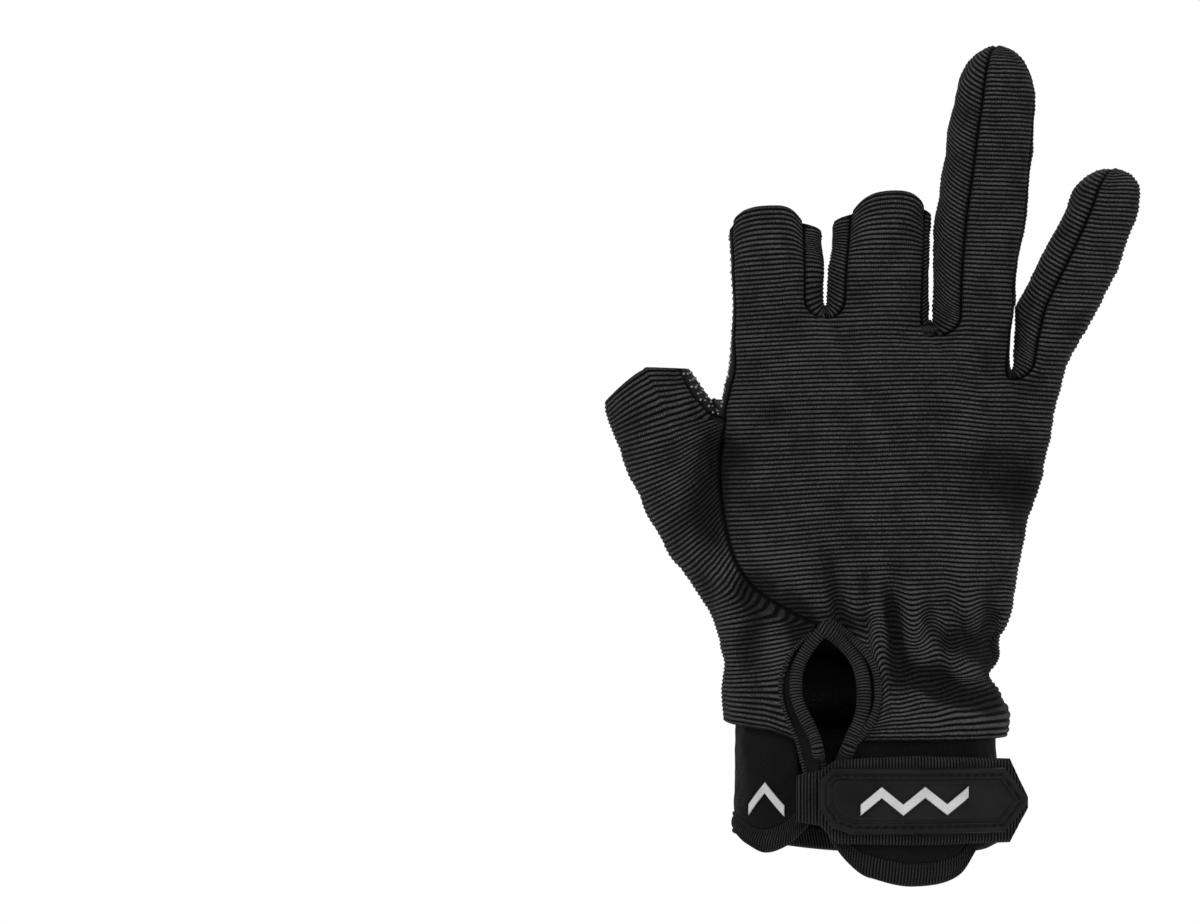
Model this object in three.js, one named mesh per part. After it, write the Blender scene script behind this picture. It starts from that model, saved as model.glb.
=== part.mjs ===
// A fishing glove for the right hand, as it stands when worn: thumb, index and middle finger cut short, ring and
// little finger whole, a soft cuff with a keyhole slit on the back, and a wrist strap that closes over the slit.
// Millimetres. +Z runs up the fingers, +X to the little finger's side, -Y out of the back of the hand.
// The origin is in the middle of the mouth where the hand goes in.
import * as THREE from 'three';

// Driving sizes of the hand part.
const fabricWall = 1.6; // knitted fabric
const seamGap = 0.5; // between two panels that are sewn together
const wristHeight = 37; // mouth to the crease of the wrist
const palmLength = 110; // that crease to the crotch between middle and ring finger
const palmWidth = 86;
const palmDepth = 36;
const crotchRound = 18; // how far below a crotch the hand starts to thin
const crotchRise = 2; // crotch above its seam
const seamTurn = 5; // height of the U that the seam makes round a crotch between fingers
const thumbTurn = 8; // the same beside the thumb

// Driving sizes of the cuff.
const fabricEdge = 38; // where the knitted fabric starts
const cuffLap = 2.6; // how far the cuff runs up inside it
const cuffWall = 2;
const cuffShift = -0.6; // its middle is off the glove's by this
const cuffHalfWidth = 34.3;
const cuffHalfDepth = 22.3;
const cuffCorner = 2.3; // exponent of the cuff's outline: 2 is an ellipse
const cuffFlare = 1.2; // how much wider the mouth is, each side
const hemHeight = 6.4;
const hemProud = 0.5; // the folded hem stands out from the cuff by this

// Driving sizes of the keyhole slit.
const keyholeTop = 68;
const keyholeWidest = 51; // height where it is widest
const keyholeHalfWidth = 12.2; // to the panels' edges
const keyholeNarrowing = 0.33; // share of the width lost at the cuff
const bindingWidth = 3.4;
const bindingDepth = 3;
const bandWidth = 2.2; // of the flat band between the left binding's roll and the fabric
const bindingBottom = 35.2;

// Driving sizes of the wrist strap.
const strapWall = 1.8;
const strapReach = 41; // its pointed end, measured from the glove's middle
const strapRoot = -19.5; // its sewn end
const strapMiddle = 22.6; // height of its centre line
const strapWidth = 23.4;
const strapLeaves = 22; // from here outwards it leaves the cuff and runs straight on
const patchWall = 1.3;
const patchRim = 0.8;
const patchRimWidth = 3;
const patchWidth = 17.5;
const patchLeft = -13.5;
const patchRight = 39.8;
const printWall = 0.6;
const markWidth = 3;

// Folds and gathers.
const foldHeight = 2;
const foldWidth = 7;
const elasticHeight = 64; // the gathering elastic on the back of the wrist
const gatherPitch = 12.5;
const gatherHeight = 0.9;
const gatherReach = 13;

// The hand's sections: t is the share of palmLength above the wrist; left and right are shares of palmWidth;
// back and palm are shares of palmDepth.
const bodyRows = [
  { t: -0.03, left: -0.444, right: 0.436, back: -0.682, palm: 0.684 },
  { t: 0.015, left: -0.444, right: 0.438, back: -0.688, palm: 0.695 },
  { t: 0.07, left: -0.446, right: 0.443, back: -0.695, palm: 0.71 },
  { t: 0.125, left: -0.443, right: 0.428, back: -0.67, palm: 0.68 },
  { t: 0.155, left: -0.435, right: 0.402, back: -0.645, palm: 0.66 },
  { t: 0.19, left: -0.422, right: 0.42, back: -0.62, palm: 0.65 },
  { t: 0.245, left: -0.42, right: 0.406, back: -0.59, palm: 0.61 },
  { t: 0.33, left: -0.405, right: 0.437, back: -0.58, palm: 0.55 },
  { t: 0.44, left: -0.4, right: 0.467, back: -0.555, palm: 0.5 },
  { t: 0.53, left: -0.405, right: 0.501, back: -0.53, palm: 0.47 },
  { t: 0.64, left: -0.445, right: 0.532, back: -0.5, palm: 0.445 },
  { t: 0.75, left: -0.462, right: 0.54, back: -0.465, palm: 0.415 },
  { t: 0.85, left: -0.42, right: 0.535, back: -0.43, palm: 0.385 },
  { t: 0.95, left: -0.4, right: 0.5, back: -0.4, palm: 0.36 },
  { t: 1.06, left: -0.39, right: 0.45, back: -0.375, palm: 0.335 },
];

// The top edge of the hand, as the crotches set it: x is a share of palmWidth, t a share of palmLength.
const topRows = [
  { x: -0.45, t: 1.02 },
  { x: -0.129, t: 1.036 },
  { x: 0.188, t: 0.991 },
  { x: 0.436, t: 0.888 },
  { x: 0.58, t: 0.79 },
];

// Thumb and fingers. base is a share of palmLength; length runs from base to the tip or to the cut. seams are shares
// of the half width, on the back and on the palm side. In each row t and curl are shares of length, left and right
// of palmWidth, and depth of the digit's depth.
const digits = {
  thumb: {
    base: 0.19, length: 74, depth: 32, rootRound: 22, open: true, dome: 0, cutSlope: 0.38, palmDrop: 0,
    seams: { backLeft: -0.98, backRight: 0.78, palmLeft: -0.62, palmRight: 0.72 },
    rows: [
      { t: 0, left: -0.412, right: -0.058, depth: 1.02, curl: 0.02 },
      { t: 0.21, left: -0.5, right: -0.116, depth: 0.98, curl: 0.07 },
      { t: 0.42, left: -0.629, right: -0.245, depth: 0.92, curl: 0.1 },
      { t: 0.64, left: -0.722, right: -0.362, depth: 0.86, curl: 0.115 },
      { t: 0.85, left: -0.79, right: -0.452, depth: 0.79, curl: 0.125 },
      { t: 1.03, left: -0.835, right: -0.54, depth: 0.74, curl: 0.145 },
      { t: 1.12, left: -0.86, right: -0.577, depth: 0.72, curl: 0.155 },
    ],
  },
  index: {
    base: 1.036, length: 26, depth: 21, rootRound: 14, open: true, dome: 3.6, cutSlope: 0, palmDrop: 9,
    seams: { backLeft: -0.97, backRight: 0.6, palmLeft: -0.82, palmRight: 0.42 },
    rows: [
      { t: -1.15, left: -0.462, right: -0.151, depth: 1, curl: -0.06 },
      { t: -0.6, left: -0.424, right: -0.147, depth: 1, curl: -0.05 },
      { t: 0, left: -0.413, right: -0.141, depth: 1, curl: -0.03 },
      { t: 0.55, left: -0.422, right: -0.139, depth: 0.985, curl: 0.05 },
      { t: 1.2, left: -0.428, right: -0.147, depth: 0.97, curl: 0.14 },
    ],
  },
  middle: {
    base: 1, length: 33.4, depth: 21.5, rootRound: 14, open: true, dome: 4.5, cutSlope: 0.05, palmDrop: 8,
    seams: { backLeft: -0.7, backRight: 0.88, palmLeft: -0.79, palmRight: 0.47 },
    rows: [
      { t: -1, left: -0.112, right: 0.168, depth: 1, curl: -0.05 },
      { t: 0, left: -0.125, right: 0.184, depth: 1, curl: -0.03 },
      { t: 0.3, left: -0.123, right: 0.187, depth: 1, curl: 0 },
      { t: 0.72, left: -0.109, right: 0.192, depth: 0.985, curl: 0.06 },
      { t: 1.2, left: -0.088, right: 0.207, depth: 0.97, curl: 0.14 },
    ],
  },
  ring: {
    base: 1, length: 75, depth: 21, rootRound: 14, open: false, cap: 0.83,
    seams: { backLeft: -0.36, backRight: 0.97, palmLeft: -0.85, palmRight: 0.5 },
    rows: [
      { t: -0.45, left: 0.15, right: 0.39, depth: 1, curl: -0.02 },
      { t: -0.187, left: 0.188, right: 0.424, depth: 1, curl: -0.018 },
      { t: 0, left: 0.197, right: 0.443, depth: 1, curl: -0.012 },
      { t: 0.17, left: 0.2, right: 0.454, depth: 0.99, curl: 0 },
      { t: 0.37, left: 0.208, right: 0.487, depth: 0.97, curl: 0.03 },
      { t: 0.54, left: 0.233, right: 0.502, depth: 0.94, curl: 0.06 },
      { t: 0.71, left: 0.256, right: 0.517, depth: 0.9, curl: 0.09 },
      { t: 0.83, left: 0.279, right: 0.52, depth: 0.86, curl: 0.115 },
      { t: 1, left: 0.297, right: 0.514, depth: 0.8, curl: 0.15 },
    ],
  },
  little: {
    base: 0.882, length: 55, depth: 19.5, rootRound: 14, open: false, cap: 0.87,
    seams: { backLeft: -0.36, backRight: 0.97, palmLeft: -0.66, palmRight: 0.78 },
    rows: [
      { t: -0.45, left: 0.37, right: 0.535, depth: 1, curl: -0.03 },
      { t: -0.007, left: 0.448, right: 0.601, depth: 1, curl: -0.012 },
      { t: 0.107, left: 0.45, right: 0.631, depth: 1, curl: 0 },
      { t: 0.224, left: 0.453, right: 0.674, depth: 0.99, curl: 0.01 },
      { t: 0.338, left: 0.464, right: 0.715, depth: 0.98, curl: 0.025 },
      { t: 0.571, left: 0.54, right: 0.788, depth: 0.95, curl: 0.065 },
      { t: 0.8, left: 0.616, right: 0.838, depth: 0.9, curl: 0.115 },
      { t: 0.916, left: 0.648, right: 0.85, depth: 0.88, curl: 0.14 },
      { t: 1, left: 0.674, right: 0.855, depth: 0.86, curl: 0.16 },
    ],
  },
};
const digitNames = ['thumb', 'index', 'middle', 'ring', 'little'];

// The crotch between each digit and the next, and where the line below it meets the fabric's edge, on the back and
// on the palm: x, back and palm are shares of palmWidth, t of palmLength. The thumb's lines have tables of their own.
const crotches = [
  { x: -0.446, t: 0.775 },
  { x: -0.129, t: 1.036 - crotchRise / palmLength, back: 0.08, palm: -0.03 },
  { x: 0.188, t: 0.991 - crotchRise / palmLength, back: 0.17, palm: 0.12 },
  { x: 0.44, t: 0.888 - crotchRise / palmLength, back: 0.26, palm: 0.26 },
];

// The seam on the back between the thumb panel and the back panel: t is a share of palmLength, x of palmWidth.
const thumbSeamRows = [
  { t: -0.05, x: -0.131 },
  { t: 0.27, x: -0.14 },
  { t: 0.31, x: -0.235 },
  { t: 0.365, x: -0.348 },
  { t: 0.42, x: -0.403 },
  { t: 0.48, x: -0.432 },
  { t: 0.57, x: -0.452 },
  { t: 0.66, x: -0.457 },
  { t: 0.775, x: -0.446 },
];

// The groove on the palm between the thumb and the hand.
const thumbGrooveRows = [
  { t: -0.05, x: -0.2 },
  { t: 0.3, x: -0.27 },
  { t: 0.5, x: -0.33 },
  { t: 0.62, x: -0.375 },
  { t: 0.673, x: -0.402 },
  { t: 0.727, x: -0.432 },
  { t: 0.775, x: -0.446 },
];

// Main folds. side is -1 on the back and 1 on the palm; x and t are shares as above; height and width are shares of
// foldHeight and foldWidth, and a negative height is a valley.
const foldRows = [
  { side: 1, x1: 0.12, t1: 0.94, x2: -0.36, t2: 0.79, height: -1.1, width: 0.75 },
  { side: 1, x1: 0.06, t1: 1.0, x2: -0.34, t2: 0.86, height: 0.5, width: 0.9 },
  { side: 1, x1: 0.42, t1: 0.13, x2: 0, t2: 0.12, height: -1.1, width: 1 },
  { side: 1, x1: 0, t1: 0.12, x2: -0.4, t2: 0.2, height: -0.9, width: 1 },
  { side: 1, x1: 0.44, t1: 0.3, x2: 0.3, t2: 0.33, height: -0.5, width: 0.8 },
  { side: -1, x1: 0.12, t1: 0.17, x2: 0.44, t2: 0.09, height: -0.9, width: 0.75 },
  { side: -1, x1: 0.24, t1: 0.245, x2: 0.44, t2: 0.17, height: -0.6, width: 0.6 },
  { side: -1, x1: 0.1, t1: 0.08, x2: 0.4, t2: 0.03, height: 0.5, width: 1 },
  { side: -1, x1: 0.36, t1: 0.66, x2: 0.5, t2: 0.58, height: -0.7, width: 1 },
  { side: -1, x1: -0.36, t1: 0.36, x2: -0.12, t2: 0.27, height: -0.8, width: 0.8 },
  { side: -1, x1: -0.46, t1: 0.7, x2: -0.5, t2: 0.54, height: -0.9, width: 0.8 },
];

// The cuff's lower and upper edges: c runs round it from the tab's edge, by the thumb side and the palm, to the
// flap's edge; low is a share of fabricEdge, rise of cuffLap above fabricEdge.
const hemRows = [
  { c: 0, low: 0.42 },
  { c: 0.035, low: 0.28 },
  { c: 0.075, low: 0.222 },
  { c: 0.12, low: 0.27 },
  { c: 0.17, low: 0.33 },
  { c: 0.3, low: 0.25 },
  { c: 0.42, low: 0.17 },
  { c: 0.52, low: 0.15 },
  { c: 0.62, low: 0.19 },
  { c: 0.72, low: 0.27 },
  { c: 0.8, low: 0.27 },
  { c: 0.847, low: 0.065 },
  { c: 0.914, low: 0 },
  { c: 0.957, low: 0.06 },
  { c: 0.978, low: 0.17 },
  { c: 1, low: 0.34 },
];
const cuffTopRows = [
  { c: 0, rise: 1 },
  { c: 0.1, rise: 1.9 },
  { c: 0.18, rise: 2.6 },
  { c: 0.26, rise: 1.3 },
  { c: 0.32, rise: 1 },
  { c: 1, rise: 1 },
];

// Where the cuff ends on the back, on both sides of the slit: z is a share of fabricEdge, tab and flap of
// cuffHalfWidth.
const slitRows = [
  { z: 0.3, tab: -0.44, flap: -0.32 },
  { z: 0.65, tab: -0.5, flap: -0.25 },
  { z: 1, tab: -0.56, flap: -0.17 },
];

// The strap's outline, seen from the back: x is a share of the way from strapRoot to strapReach, low and high are
// shares of strapWidth from its centre line.
const strapRows = [
  { x: 0, low: -0.24, high: 0.28 },
  { x: 0.1, low: -0.28, high: 0.34 },
  { x: 0.17, low: -0.48, high: 0.46 },
  { x: 0.5, low: -0.5, high: 0.5 },
  { x: 0.92, low: -0.49, high: 0.45 },
  { x: 1, low: -0.1, high: 0 },
];

// The rubber patch's outline: x is a share of the way from patchLeft to patchRight, the rest as for the strap.
const patchRows = [
  { x: 0, low: -0.1, high: 0.3 },
  { x: 0.06, low: -0.4, high: 0.5 },
  { x: 0.15, low: -0.5, high: 0.5 },
  { x: 0.88, low: -0.5, high: 0.48 },
  { x: 1, low: -0.08, high: 0 },
];

const { PI, abs, asin, cos, hypot, max, min, sin, sqrt } = Math;
const mix = (a, b, share) => a + (b - a) * share;
const clamp = (value, low, high) => min(high, max(low, value));
const ease = (value) => {
  const share = clamp(value, 0, 1);
  return share * share * (3 - 2 * share);
};
const palmZ = (t) => wristHeight + t * palmLength;
const palmT = (z) => (z - wristHeight) / palmLength;

// A smooth curve through one column of a table, against its key column.
function read(rows, key, column, at) {
  const last = rows.length - 1;
  if (at <= rows[0][key]) return rows[0][column];
  if (at >= rows[last][key]) return rows[last][column];
  let i = 0;
  while (at > rows[i + 1][key]) i += 1;
  const slope = (j) => {
    const a = rows[max(0, j - 1)];
    const b = rows[min(last, j + 1)];
    return (b[column] - a[column]) / (b[key] - a[key]);
  };
  const span = rows[i + 1][key] - rows[i][key];
  const u = (at - rows[i][key]) / span;
  const start = rows[i][column] * (1 + 2 * u) * (1 - u) ** 2 + rows[i + 1][column] * u * u * (3 - 2 * u);
  return start + span * (slope(i) * u * (1 - u) ** 2 - slope(i + 1) * u * u * (1 - u));
}

// A digit's section at height z: its centre, half width and half depth.
function digitSection(name, z) {
  const digit = digits[name];
  const t = (z - palmZ(digit.base)) / digit.length;
  const left = read(digit.rows, 't', 'left', t) * palmWidth;
  const right = read(digit.rows, 't', 'right', t) * palmWidth;
  const b = (read(digit.rows, 't', 'depth', t) * digit.depth) / 2;
  return { x: (left + right) / 2, y: read(digit.rows, 't', 'curl', t) * digit.length, w: (right - left) / 2, b };
}

function bodySection(z) {
  const t = palmT(z);
  const left = read(bodyRows, 't', 'left', t) * palmWidth;
  const right = read(bodyRows, 't', 'right', t) * palmWidth;
  const back = read(bodyRows, 't', 'back', t) * palmDepth;
  const palm = read(bodyRows, 't', 'palm', t) * palmDepth;
  return { x: (left + right) / 2, y: (back + palm) / 2, w: (right - left) / 2, b: (palm - back) / 2, left, right };
}

const digitTip = (name) => palmZ(digits[name].base) + digits[name].length;
const digitRoot = (name) => palmZ(digits[name].base) + digits[name].rows[0].t * digits[name].length;

// Below 0 inside a digit, 0 on its skin, above 0 outside, roughly in millimetres.
function digitField(name, x, y, z) {
  const digit = digits[name];
  const s = digitSection(name, z);
  const root = max(0, digitRoot(name) - z) / digit.rootRound;
  let tip = 0;
  if (!digit.open) {
    const capStart = digitTip(name) - (1 - digit.cap) * digit.length;
    tip = max(0, z - capStart) / ((1 - digit.cap) * digit.length);
  }
  return (hypot((x - s.x) / s.w, (y - s.y) / s.b, root, tip) - 1) * s.b;
}

function bodyField(x, y, z) {
  const s = bodySection(z);
  const corner = mix(2.25, 2.7, ease(palmT(z) * 1.5)); // the palm is flatter than the wrist
  const side = (abs(x - s.x) / s.w) ** corner;
  const top = palmZ(read(topRows, 'x', 't', x / palmWidth));
  const over = max(0, z - (top - crotchRound)) / crotchRound;
  const thinning = over ** corner * max(0.02, 1 - side);
  return ((side + (abs(y - s.y) / s.b) ** corner + thinning) ** (1 / corner) - 1) * s.b;
}

function foldField(x, y, z) {
  let out = 0;
  for (const fold of foldRows) {
    const x1 = fold.x1 * palmWidth;
    const z1 = palmZ(fold.t1);
    const dx = fold.x2 * palmWidth - x1;
    const dz = palmZ(fold.t2) - z1;
    const share = clamp(((x - x1) * dx + (z - z1) * dz) / (dx * dx + dz * dz), 0, 1);
    const away = hypot(x - x1 - dx * share, z - z1 - dz * share) / (fold.width * foldWidth);
    out += fold.height * foldHeight * Math.exp(-away * away) * ease(0.5 + (fold.side * y) / (foldWidth * 2));
  }
  const fade = Math.exp(-(((z - elasticHeight) / gatherReach) ** 2)) * ease(0.5 - y / foldWidth);
  return out + gatherHeight * fade * cos((2 * PI * x) / gatherPitch);
}

// Two fields joined with a fillet of about k.
function join(a, b, k) {
  const h = max(k - abs(a - b), 0) / k;
  return min(a, b) - (h * h * k) / 4;
}
const thumbFillet = 7;
const fingerFillet = 2;
const crotchFillet = 0.5;

function gloveField(x, y, z) {
  let fingers = digitField('index', x, y, z);
  for (const name of ['middle', 'ring', 'little']) fingers = join(fingers, digitField(name, x, y, z), crotchFillet);
  const hand = join(bodyField(x, y, z), digitField('thumb', x, y, z), thumbFillet);
  return join(hand, fingers, fingerFillet) - foldField(x, y, z);
}

// The first point where a ray from inside leaves the glove. Its steps shorten near the skin.
const rayStep = 1.5;
const rayShortest = 0.2;
const rayReach = 60;
function leave(from, way) {
  const dir = way.clone().normalize();
  const at = (r) => gloveField(from.x + dir.x * r, from.y + dir.y * r, from.z + dir.z * r);
  let near = 0;
  let depth = -at(0);
  if (depth <= 0) return from.clone();
  let far = 0;
  while (depth > 0) {
    near = far;
    far += clamp(depth * 0.5, rayShortest, rayStep);
    depth = -at(far);
    if (far > rayReach) throw new Error('a ray never leaves the glove at ' + from.toArray());
  }
  for (let i = 0; i < 26; i += 1) {
    const half = (near + far) / 2;
    if (at(half) < 0) near = half;
    else far = half;
  }
  return from.clone().addScaledVector(dir, near);
}

const slopeStep = 1.2;
function normalAt(p) {
  const e = slopeStep;
  return new THREE.Vector3(
    gloveField(p.x + e, p.y, p.z) - gloveField(p.x - e, p.y, p.z),
    gloveField(p.x, p.y + e, p.z) - gloveField(p.x, p.y - e, p.z),
    gloveField(p.x, p.y, p.z + e) - gloveField(p.x, p.y, p.z - e),
  ).normalize();
}

// Heights and places of the crotches, and the lines that run down from them through the hand.
const crotchZ = crotches.map((c) => palmZ(c.t));
const crotchX = crotches.map((c) => c.x * palmWidth);
const turnHeight = (k) => (k === 0 ? thumbTurn : seamTurn);

function keyholeHalf(z) {
  if (z >= keyholeTop) return 0;
  if (z >= keyholeWidest) {
    const up = (z - keyholeWidest) / (keyholeTop - keyholeWidest);
    return keyholeHalfWidth * (1 - up ** 1.8) ** 0.72;
  }
  const down = (keyholeWidest - z) / (keyholeWidest - fabricEdge);
  return keyholeHalfWidth * (1 - keyholeNarrowing * clamp(down, 0, 1.5) ** 1.5);
}
const thumbSeam = (z) => read(thumbSeamRows, 't', 'x', palmT(z)) * palmWidth;

// The line below crotch k, on the back (side -1) or the palm (side 1). Below the thumb's crotch the line on the
// back is the seam, which parts round the keyhole: hand is -1 for its thumb side and 1 for its finger side.
function lineBelow(k, side, hand, z) {
  if (k === 0 && side < 0) return thumbSeam(z) + hand * keyholeHalf(z);
  if (k === 0) return read(thumbGrooveRows, 't', 'x', palmT(z)) * palmWidth;
  const foot = (side < 0 ? crotches[k].back : crotches[k].palm) * palmWidth;
  return mix(foot, crotchX[k], (z - fabricEdge) / (crotchZ[k] - fabricEdge));
}

// Where a digit's panel ends beside crotch k: it follows the line below the crotch and then the seam up the digit.
function webEdge(name, k, side, hand, z) {
  if (z <= crotchZ[k]) return lineBelow(k, side, -hand, z);
  const s = digitSection(name, z);
  const seams = digits[name].seams;
  const seam = side < 0 ? (hand < 0 ? seams.backLeft : seams.backRight) : hand < 0 ? seams.palmLeft : seams.palmRight;
  const turn = clamp((z - crotchZ[k]) / turnHeight(k), 0, 1);
  return mix(crotchX[k], s.x + seam * s.w, sqrt(1 - (1 - turn) ** 2));
}

// The axis that rays fan out from, inside a digit and below it inside the hand.
const edgeRound = 15; // how far in from the hand's side the fan of rays sits
const seamClearance = 6;
const fingerAxisBelow = 30; // below a finger's base its strip's axis starts to leave the hand's
const fingerAxisTurn = 24; // height over which it becomes the finger's own
const thumbAxisBelow = 12;
const thumbAxisTurn = 28;
function onDigit(name, z) {
  const above = z - palmZ(digits[name].base);
  if (name === 'thumb') return ease((above + thumbAxisBelow) / thumbAxisTurn);
  return ease((above + fingerAxisBelow) / fingerAxisTurn);
}

function fanAxis(name, z) {
  const s = digitSection(name, z);
  const body = bodySection(z);
  const share = onDigit(name, z);
  const side = { thumb: body.left + edgeRound, little: body.right - edgeRound }[name] ?? s.x;
  const x = mix(side, s.x, share);
  const axis = { x, y: mix(body.y, s.y, share), w: mix(edgeRound, s.w, share), b: mix(body.b, s.b, share) };
  if (name === 'thumb' && z < crotchZ[0]) {
    // it keeps clear of the seam, which crosses the thumb's root
    axis.x = min(x, lineBelow(0, -1, -1, z) - seamClearance);
    axis.w += axis.x - x;
  }
  if (name === 'little' && z < crotchZ[3]) {
    // and of the line below its own crotch
    axis.x = max(x, lineBelow(3, -1, 1, z) + seamClearance);
    axis.w -= axis.x - x;
  }
  return axis;
}

const nearly = 1e-6;

// A point on one side of a digit's strip. g runs from -1 at its left edge over 0 in its middle to 1 at its right.
const fanRise = 14; // height over which straight rays turn into a fan
function stripPoint(name, side, g, z) {
  const k = digitNames.indexOf(name);
  const hand = g < 0 ? -1 : 1;
  const axis = fanAxis(name, z);
  const outer = (name === 'thumb' && hand < 0) || (name === 'little' && hand > 0);
  const seams = digits[name].seams;
  const seamShare = { thumb: seams.palmLeft, little: seams.palmRight }[name];
  if (outer) {
    // the back's panel wraps round the side to a seam on the palm
    const palmAngle = asin(abs(seamShare));
    const angle = abs(g) * (side < 0 ? PI - palmAngle : palmAngle);
    const way = new THREE.Vector3(hand * axis.w * sin(angle), side * axis.b * cos(angle), 0);
    return leave(new THREE.Vector3(axis.x, axis.y, z), way);
  }
  const web = hand < 0 ? k - 1 : k;
  const edge = webEdge(name, web, side, hand, z);
  const otherWeb = hand < 0 ? k : k - 1;
  const hasOther = otherWeb >= 0 && otherWeb < crotches.length;
  const other = hasOther ? webEdge(name, otherWeb, side, -hand, z) : edge;
  const middle = hasOther ? mix((edge + other) / 2, axis.x, onDigit(name, z)) : axis.x;
  const straightX = mix(middle, edge, abs(g));
  const fan = ease((z - crotchZ[web] - turnHeight(web)) / fanRise);
  const angle = asin(clamp((edge - axis.x) / axis.w, -1, 1)) * abs(g);
  const beside = fanAxis(digitNames[web + 1], z).y; // where both neighbours' rays start on their line
  const y = z > crotchZ[web] + nearly ? axis.y : mix(axis.y, beside, abs(g));
  const from = new THREE.Vector3(mix(straightX, axis.x, fan), y, z);
  const spread = hypot(axis.w * sin(angle), axis.b * cos(angle));
  const way = new THREE.Vector3(
    (fan * axis.w * sin(angle)) / spread,
    side * mix(1, (axis.b * cos(angle)) / spread, fan),
    0,
  );
  return leave(from, way);
}

// The height of the upper rim or tip of a digit, for the column g of one side.
function rimHeight(name, side, g) {
  const digit = digits[name];
  const top = digitTip(name);
  if (!digit.open) return top;
  const s = digitSection(name, top);
  const across = name === 'thumb' && g < 0 ? -sin(min(-g * 2.4, PI / 2)) : sin((g * PI) / 2);
  const drop = digit.palmDrop * (side < 0 ? 0.12 * g * g : 1 - 0.45 * g * g);
  return top + digit.dome * (0.5 - g * g) - drop + digit.cutSlope * across * s.w;
}

// An open mesh under construction. Points at the same place become one.
const samePlace = 0.004;
class Sheet {
  constructor() {
    this.points = [];
    this.faces = [];
  }

  point(p) {
    const known = this.points.findIndex((q) => q.distanceTo(p) < samePlace);
    return known < 0 ? this.points.push(p) - 1 : known;
  }

  face(a, b, c) {
    if (a !== b && b !== c && c !== a) this.faces.push([a, b, c]);
  }

  // A grid of points, row by row. flip turns its faces over.
  grid(rows, flip = false) {
    const ids = rows.map((row) => row.map((p) => this.point(p)));
    for (let i = 1; i < ids.length; i += 1) {
      for (let j = 1; j < ids[i].length; j += 1) {
        const [a, b, c, d] = [ids[i - 1][j - 1], ids[i - 1][j], ids[i][j], ids[i][j - 1]];
        if (flip) {
          this.face(a, c, b);
          this.face(a, d, c);
        } else {
          this.face(a, b, c);
          this.face(a, c, d);
        }
      }
    }
  }

  // Directed edges that only one face has.
  border() {
    const edges = new Map();
    for (const [a, b, c] of this.faces) {
      for (const [p, q, r] of [[a, b, c], [b, c, a], [c, a, b]]) edges.set(p + ' ' + q, [p, q, r]);
    }
    return [...edges.values()].filter(([p, q]) => !edges.has(q + ' ' + p));
  }

  // Draws the border in by half a seam gap, along the sheet.
  inset(distance) {
    this.seams = [...this.points];
    const inward = new Map();
    for (const [p, q, r] of this.border()) {
      const [a, b, c] = [this.points[p], this.points[q], this.points[r]];
      const along = b.clone().sub(a).normalize();
      const into = c.clone().sub(a);
      into.addScaledVector(along, -into.dot(along)).normalize();
      for (const id of [p, q]) inward.set(id, [...(inward.get(id) ?? []), into]);
    }
    for (const [id, ways] of inward) {
      const sum = ways.reduce((s, w) => s.add(w), new THREE.Vector3());
      const spread = max(0.35, 1 + ways[0].dot(ways[ways.length - 1]));
      const scale = ways.length === 2 ? 1 / spread : 1 / ways.length;
      this.points[id] = this.points[id].clone().addScaledVector(sum, distance * scale);
    }
    return this;
  }

  // The closed solid between this sheet and its copy, moved by wall along the glove's skin as it was before the
  // inset, so that both panels of a seam move alike.
  thicken(wall) {
    const count = this.points.length;
    const skin = this.seams ?? this.points;
    const moved = this.points.map((p, i) => p.clone().addScaledVector(normalAt(skin[i]), -wall));
    const all = [...this.points, ...moved];
    const faces = [...this.faces];
    for (const [a, b, c] of this.faces) faces.push([a + count, c + count, b + count]);
    for (const [p, q] of this.border()) faces.push([q, p, p + count], [q, p + count, q + count]);
    return solid(all, faces);
  }
}

function solid(points, faces) {
  const geometry = new THREE.BufferGeometry();
  geometry.setAttribute('position', new THREE.Float32BufferAttribute(points.flatMap((p) => p.toArray()), 3));
  geometry.setIndex(faces.flat());
  geometry.computeVertexNormals();
  return geometry;
}

// Equal steps of about size from a to b, without a itself.
function steps(a, b, size) {
  const count = max(1, Math.round((b - a) / size));
  return Array.from({ length: count }, (_, i) => mix(a, b, (i + 1) / count));
}
const rowStep = 6.4;
const lowRowStep = 5; // beside the keyhole
const halfColumns = 3;

// The heights that all panels share, and those of one digit above them. A share runs to the rim, or over the tip.
const sharedTop = crotchZ[1];
const lowLevels = [fabricEdge, ...steps(fabricEdge, keyholeTop, lowRowStep)];
const highLevels = [keyholeTop, crotchZ[0], crotchZ[3], crotchZ[2], sharedTop].flatMap((z, i, all) =>
  i ? steps(all[i - 1], z, rowStep) : [],
);
const toThumb = highLevels.filter((z) => z <= crotchZ[0] + nearly);
const tabRows = 1; // the thumb panel starts this many rows up at its outer seam, where the cuff's tab ends
const tabSlope = lowLevels[tabRows] - fabricEdge;
const thumbRows = 6; // above its crotch, closer together towards it
function digitLevels(name, from) {
  const digit = digits[name];
  const top = digitTip(name);
  if (name === 'thumb') return steps(0, 1, 1 / thumbRows).map((share) => ({ share: share ** 1.6 }));
  if (digit.open) return steps(0, 1, rowStep / (top - from)).map((share) => ({ share }));
  const capStart = top - (1 - digit.cap) * digit.length;
  const straight = steps(from, capStart, rowStep);
  const capSteps = 4;
  const round = steps(0, PI / 2, PI / 2 / capSteps).map((a) => mix(capStart, top, sin(a)));
  return [...straight, ...round].map((z) => ({ z }));
}

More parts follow.
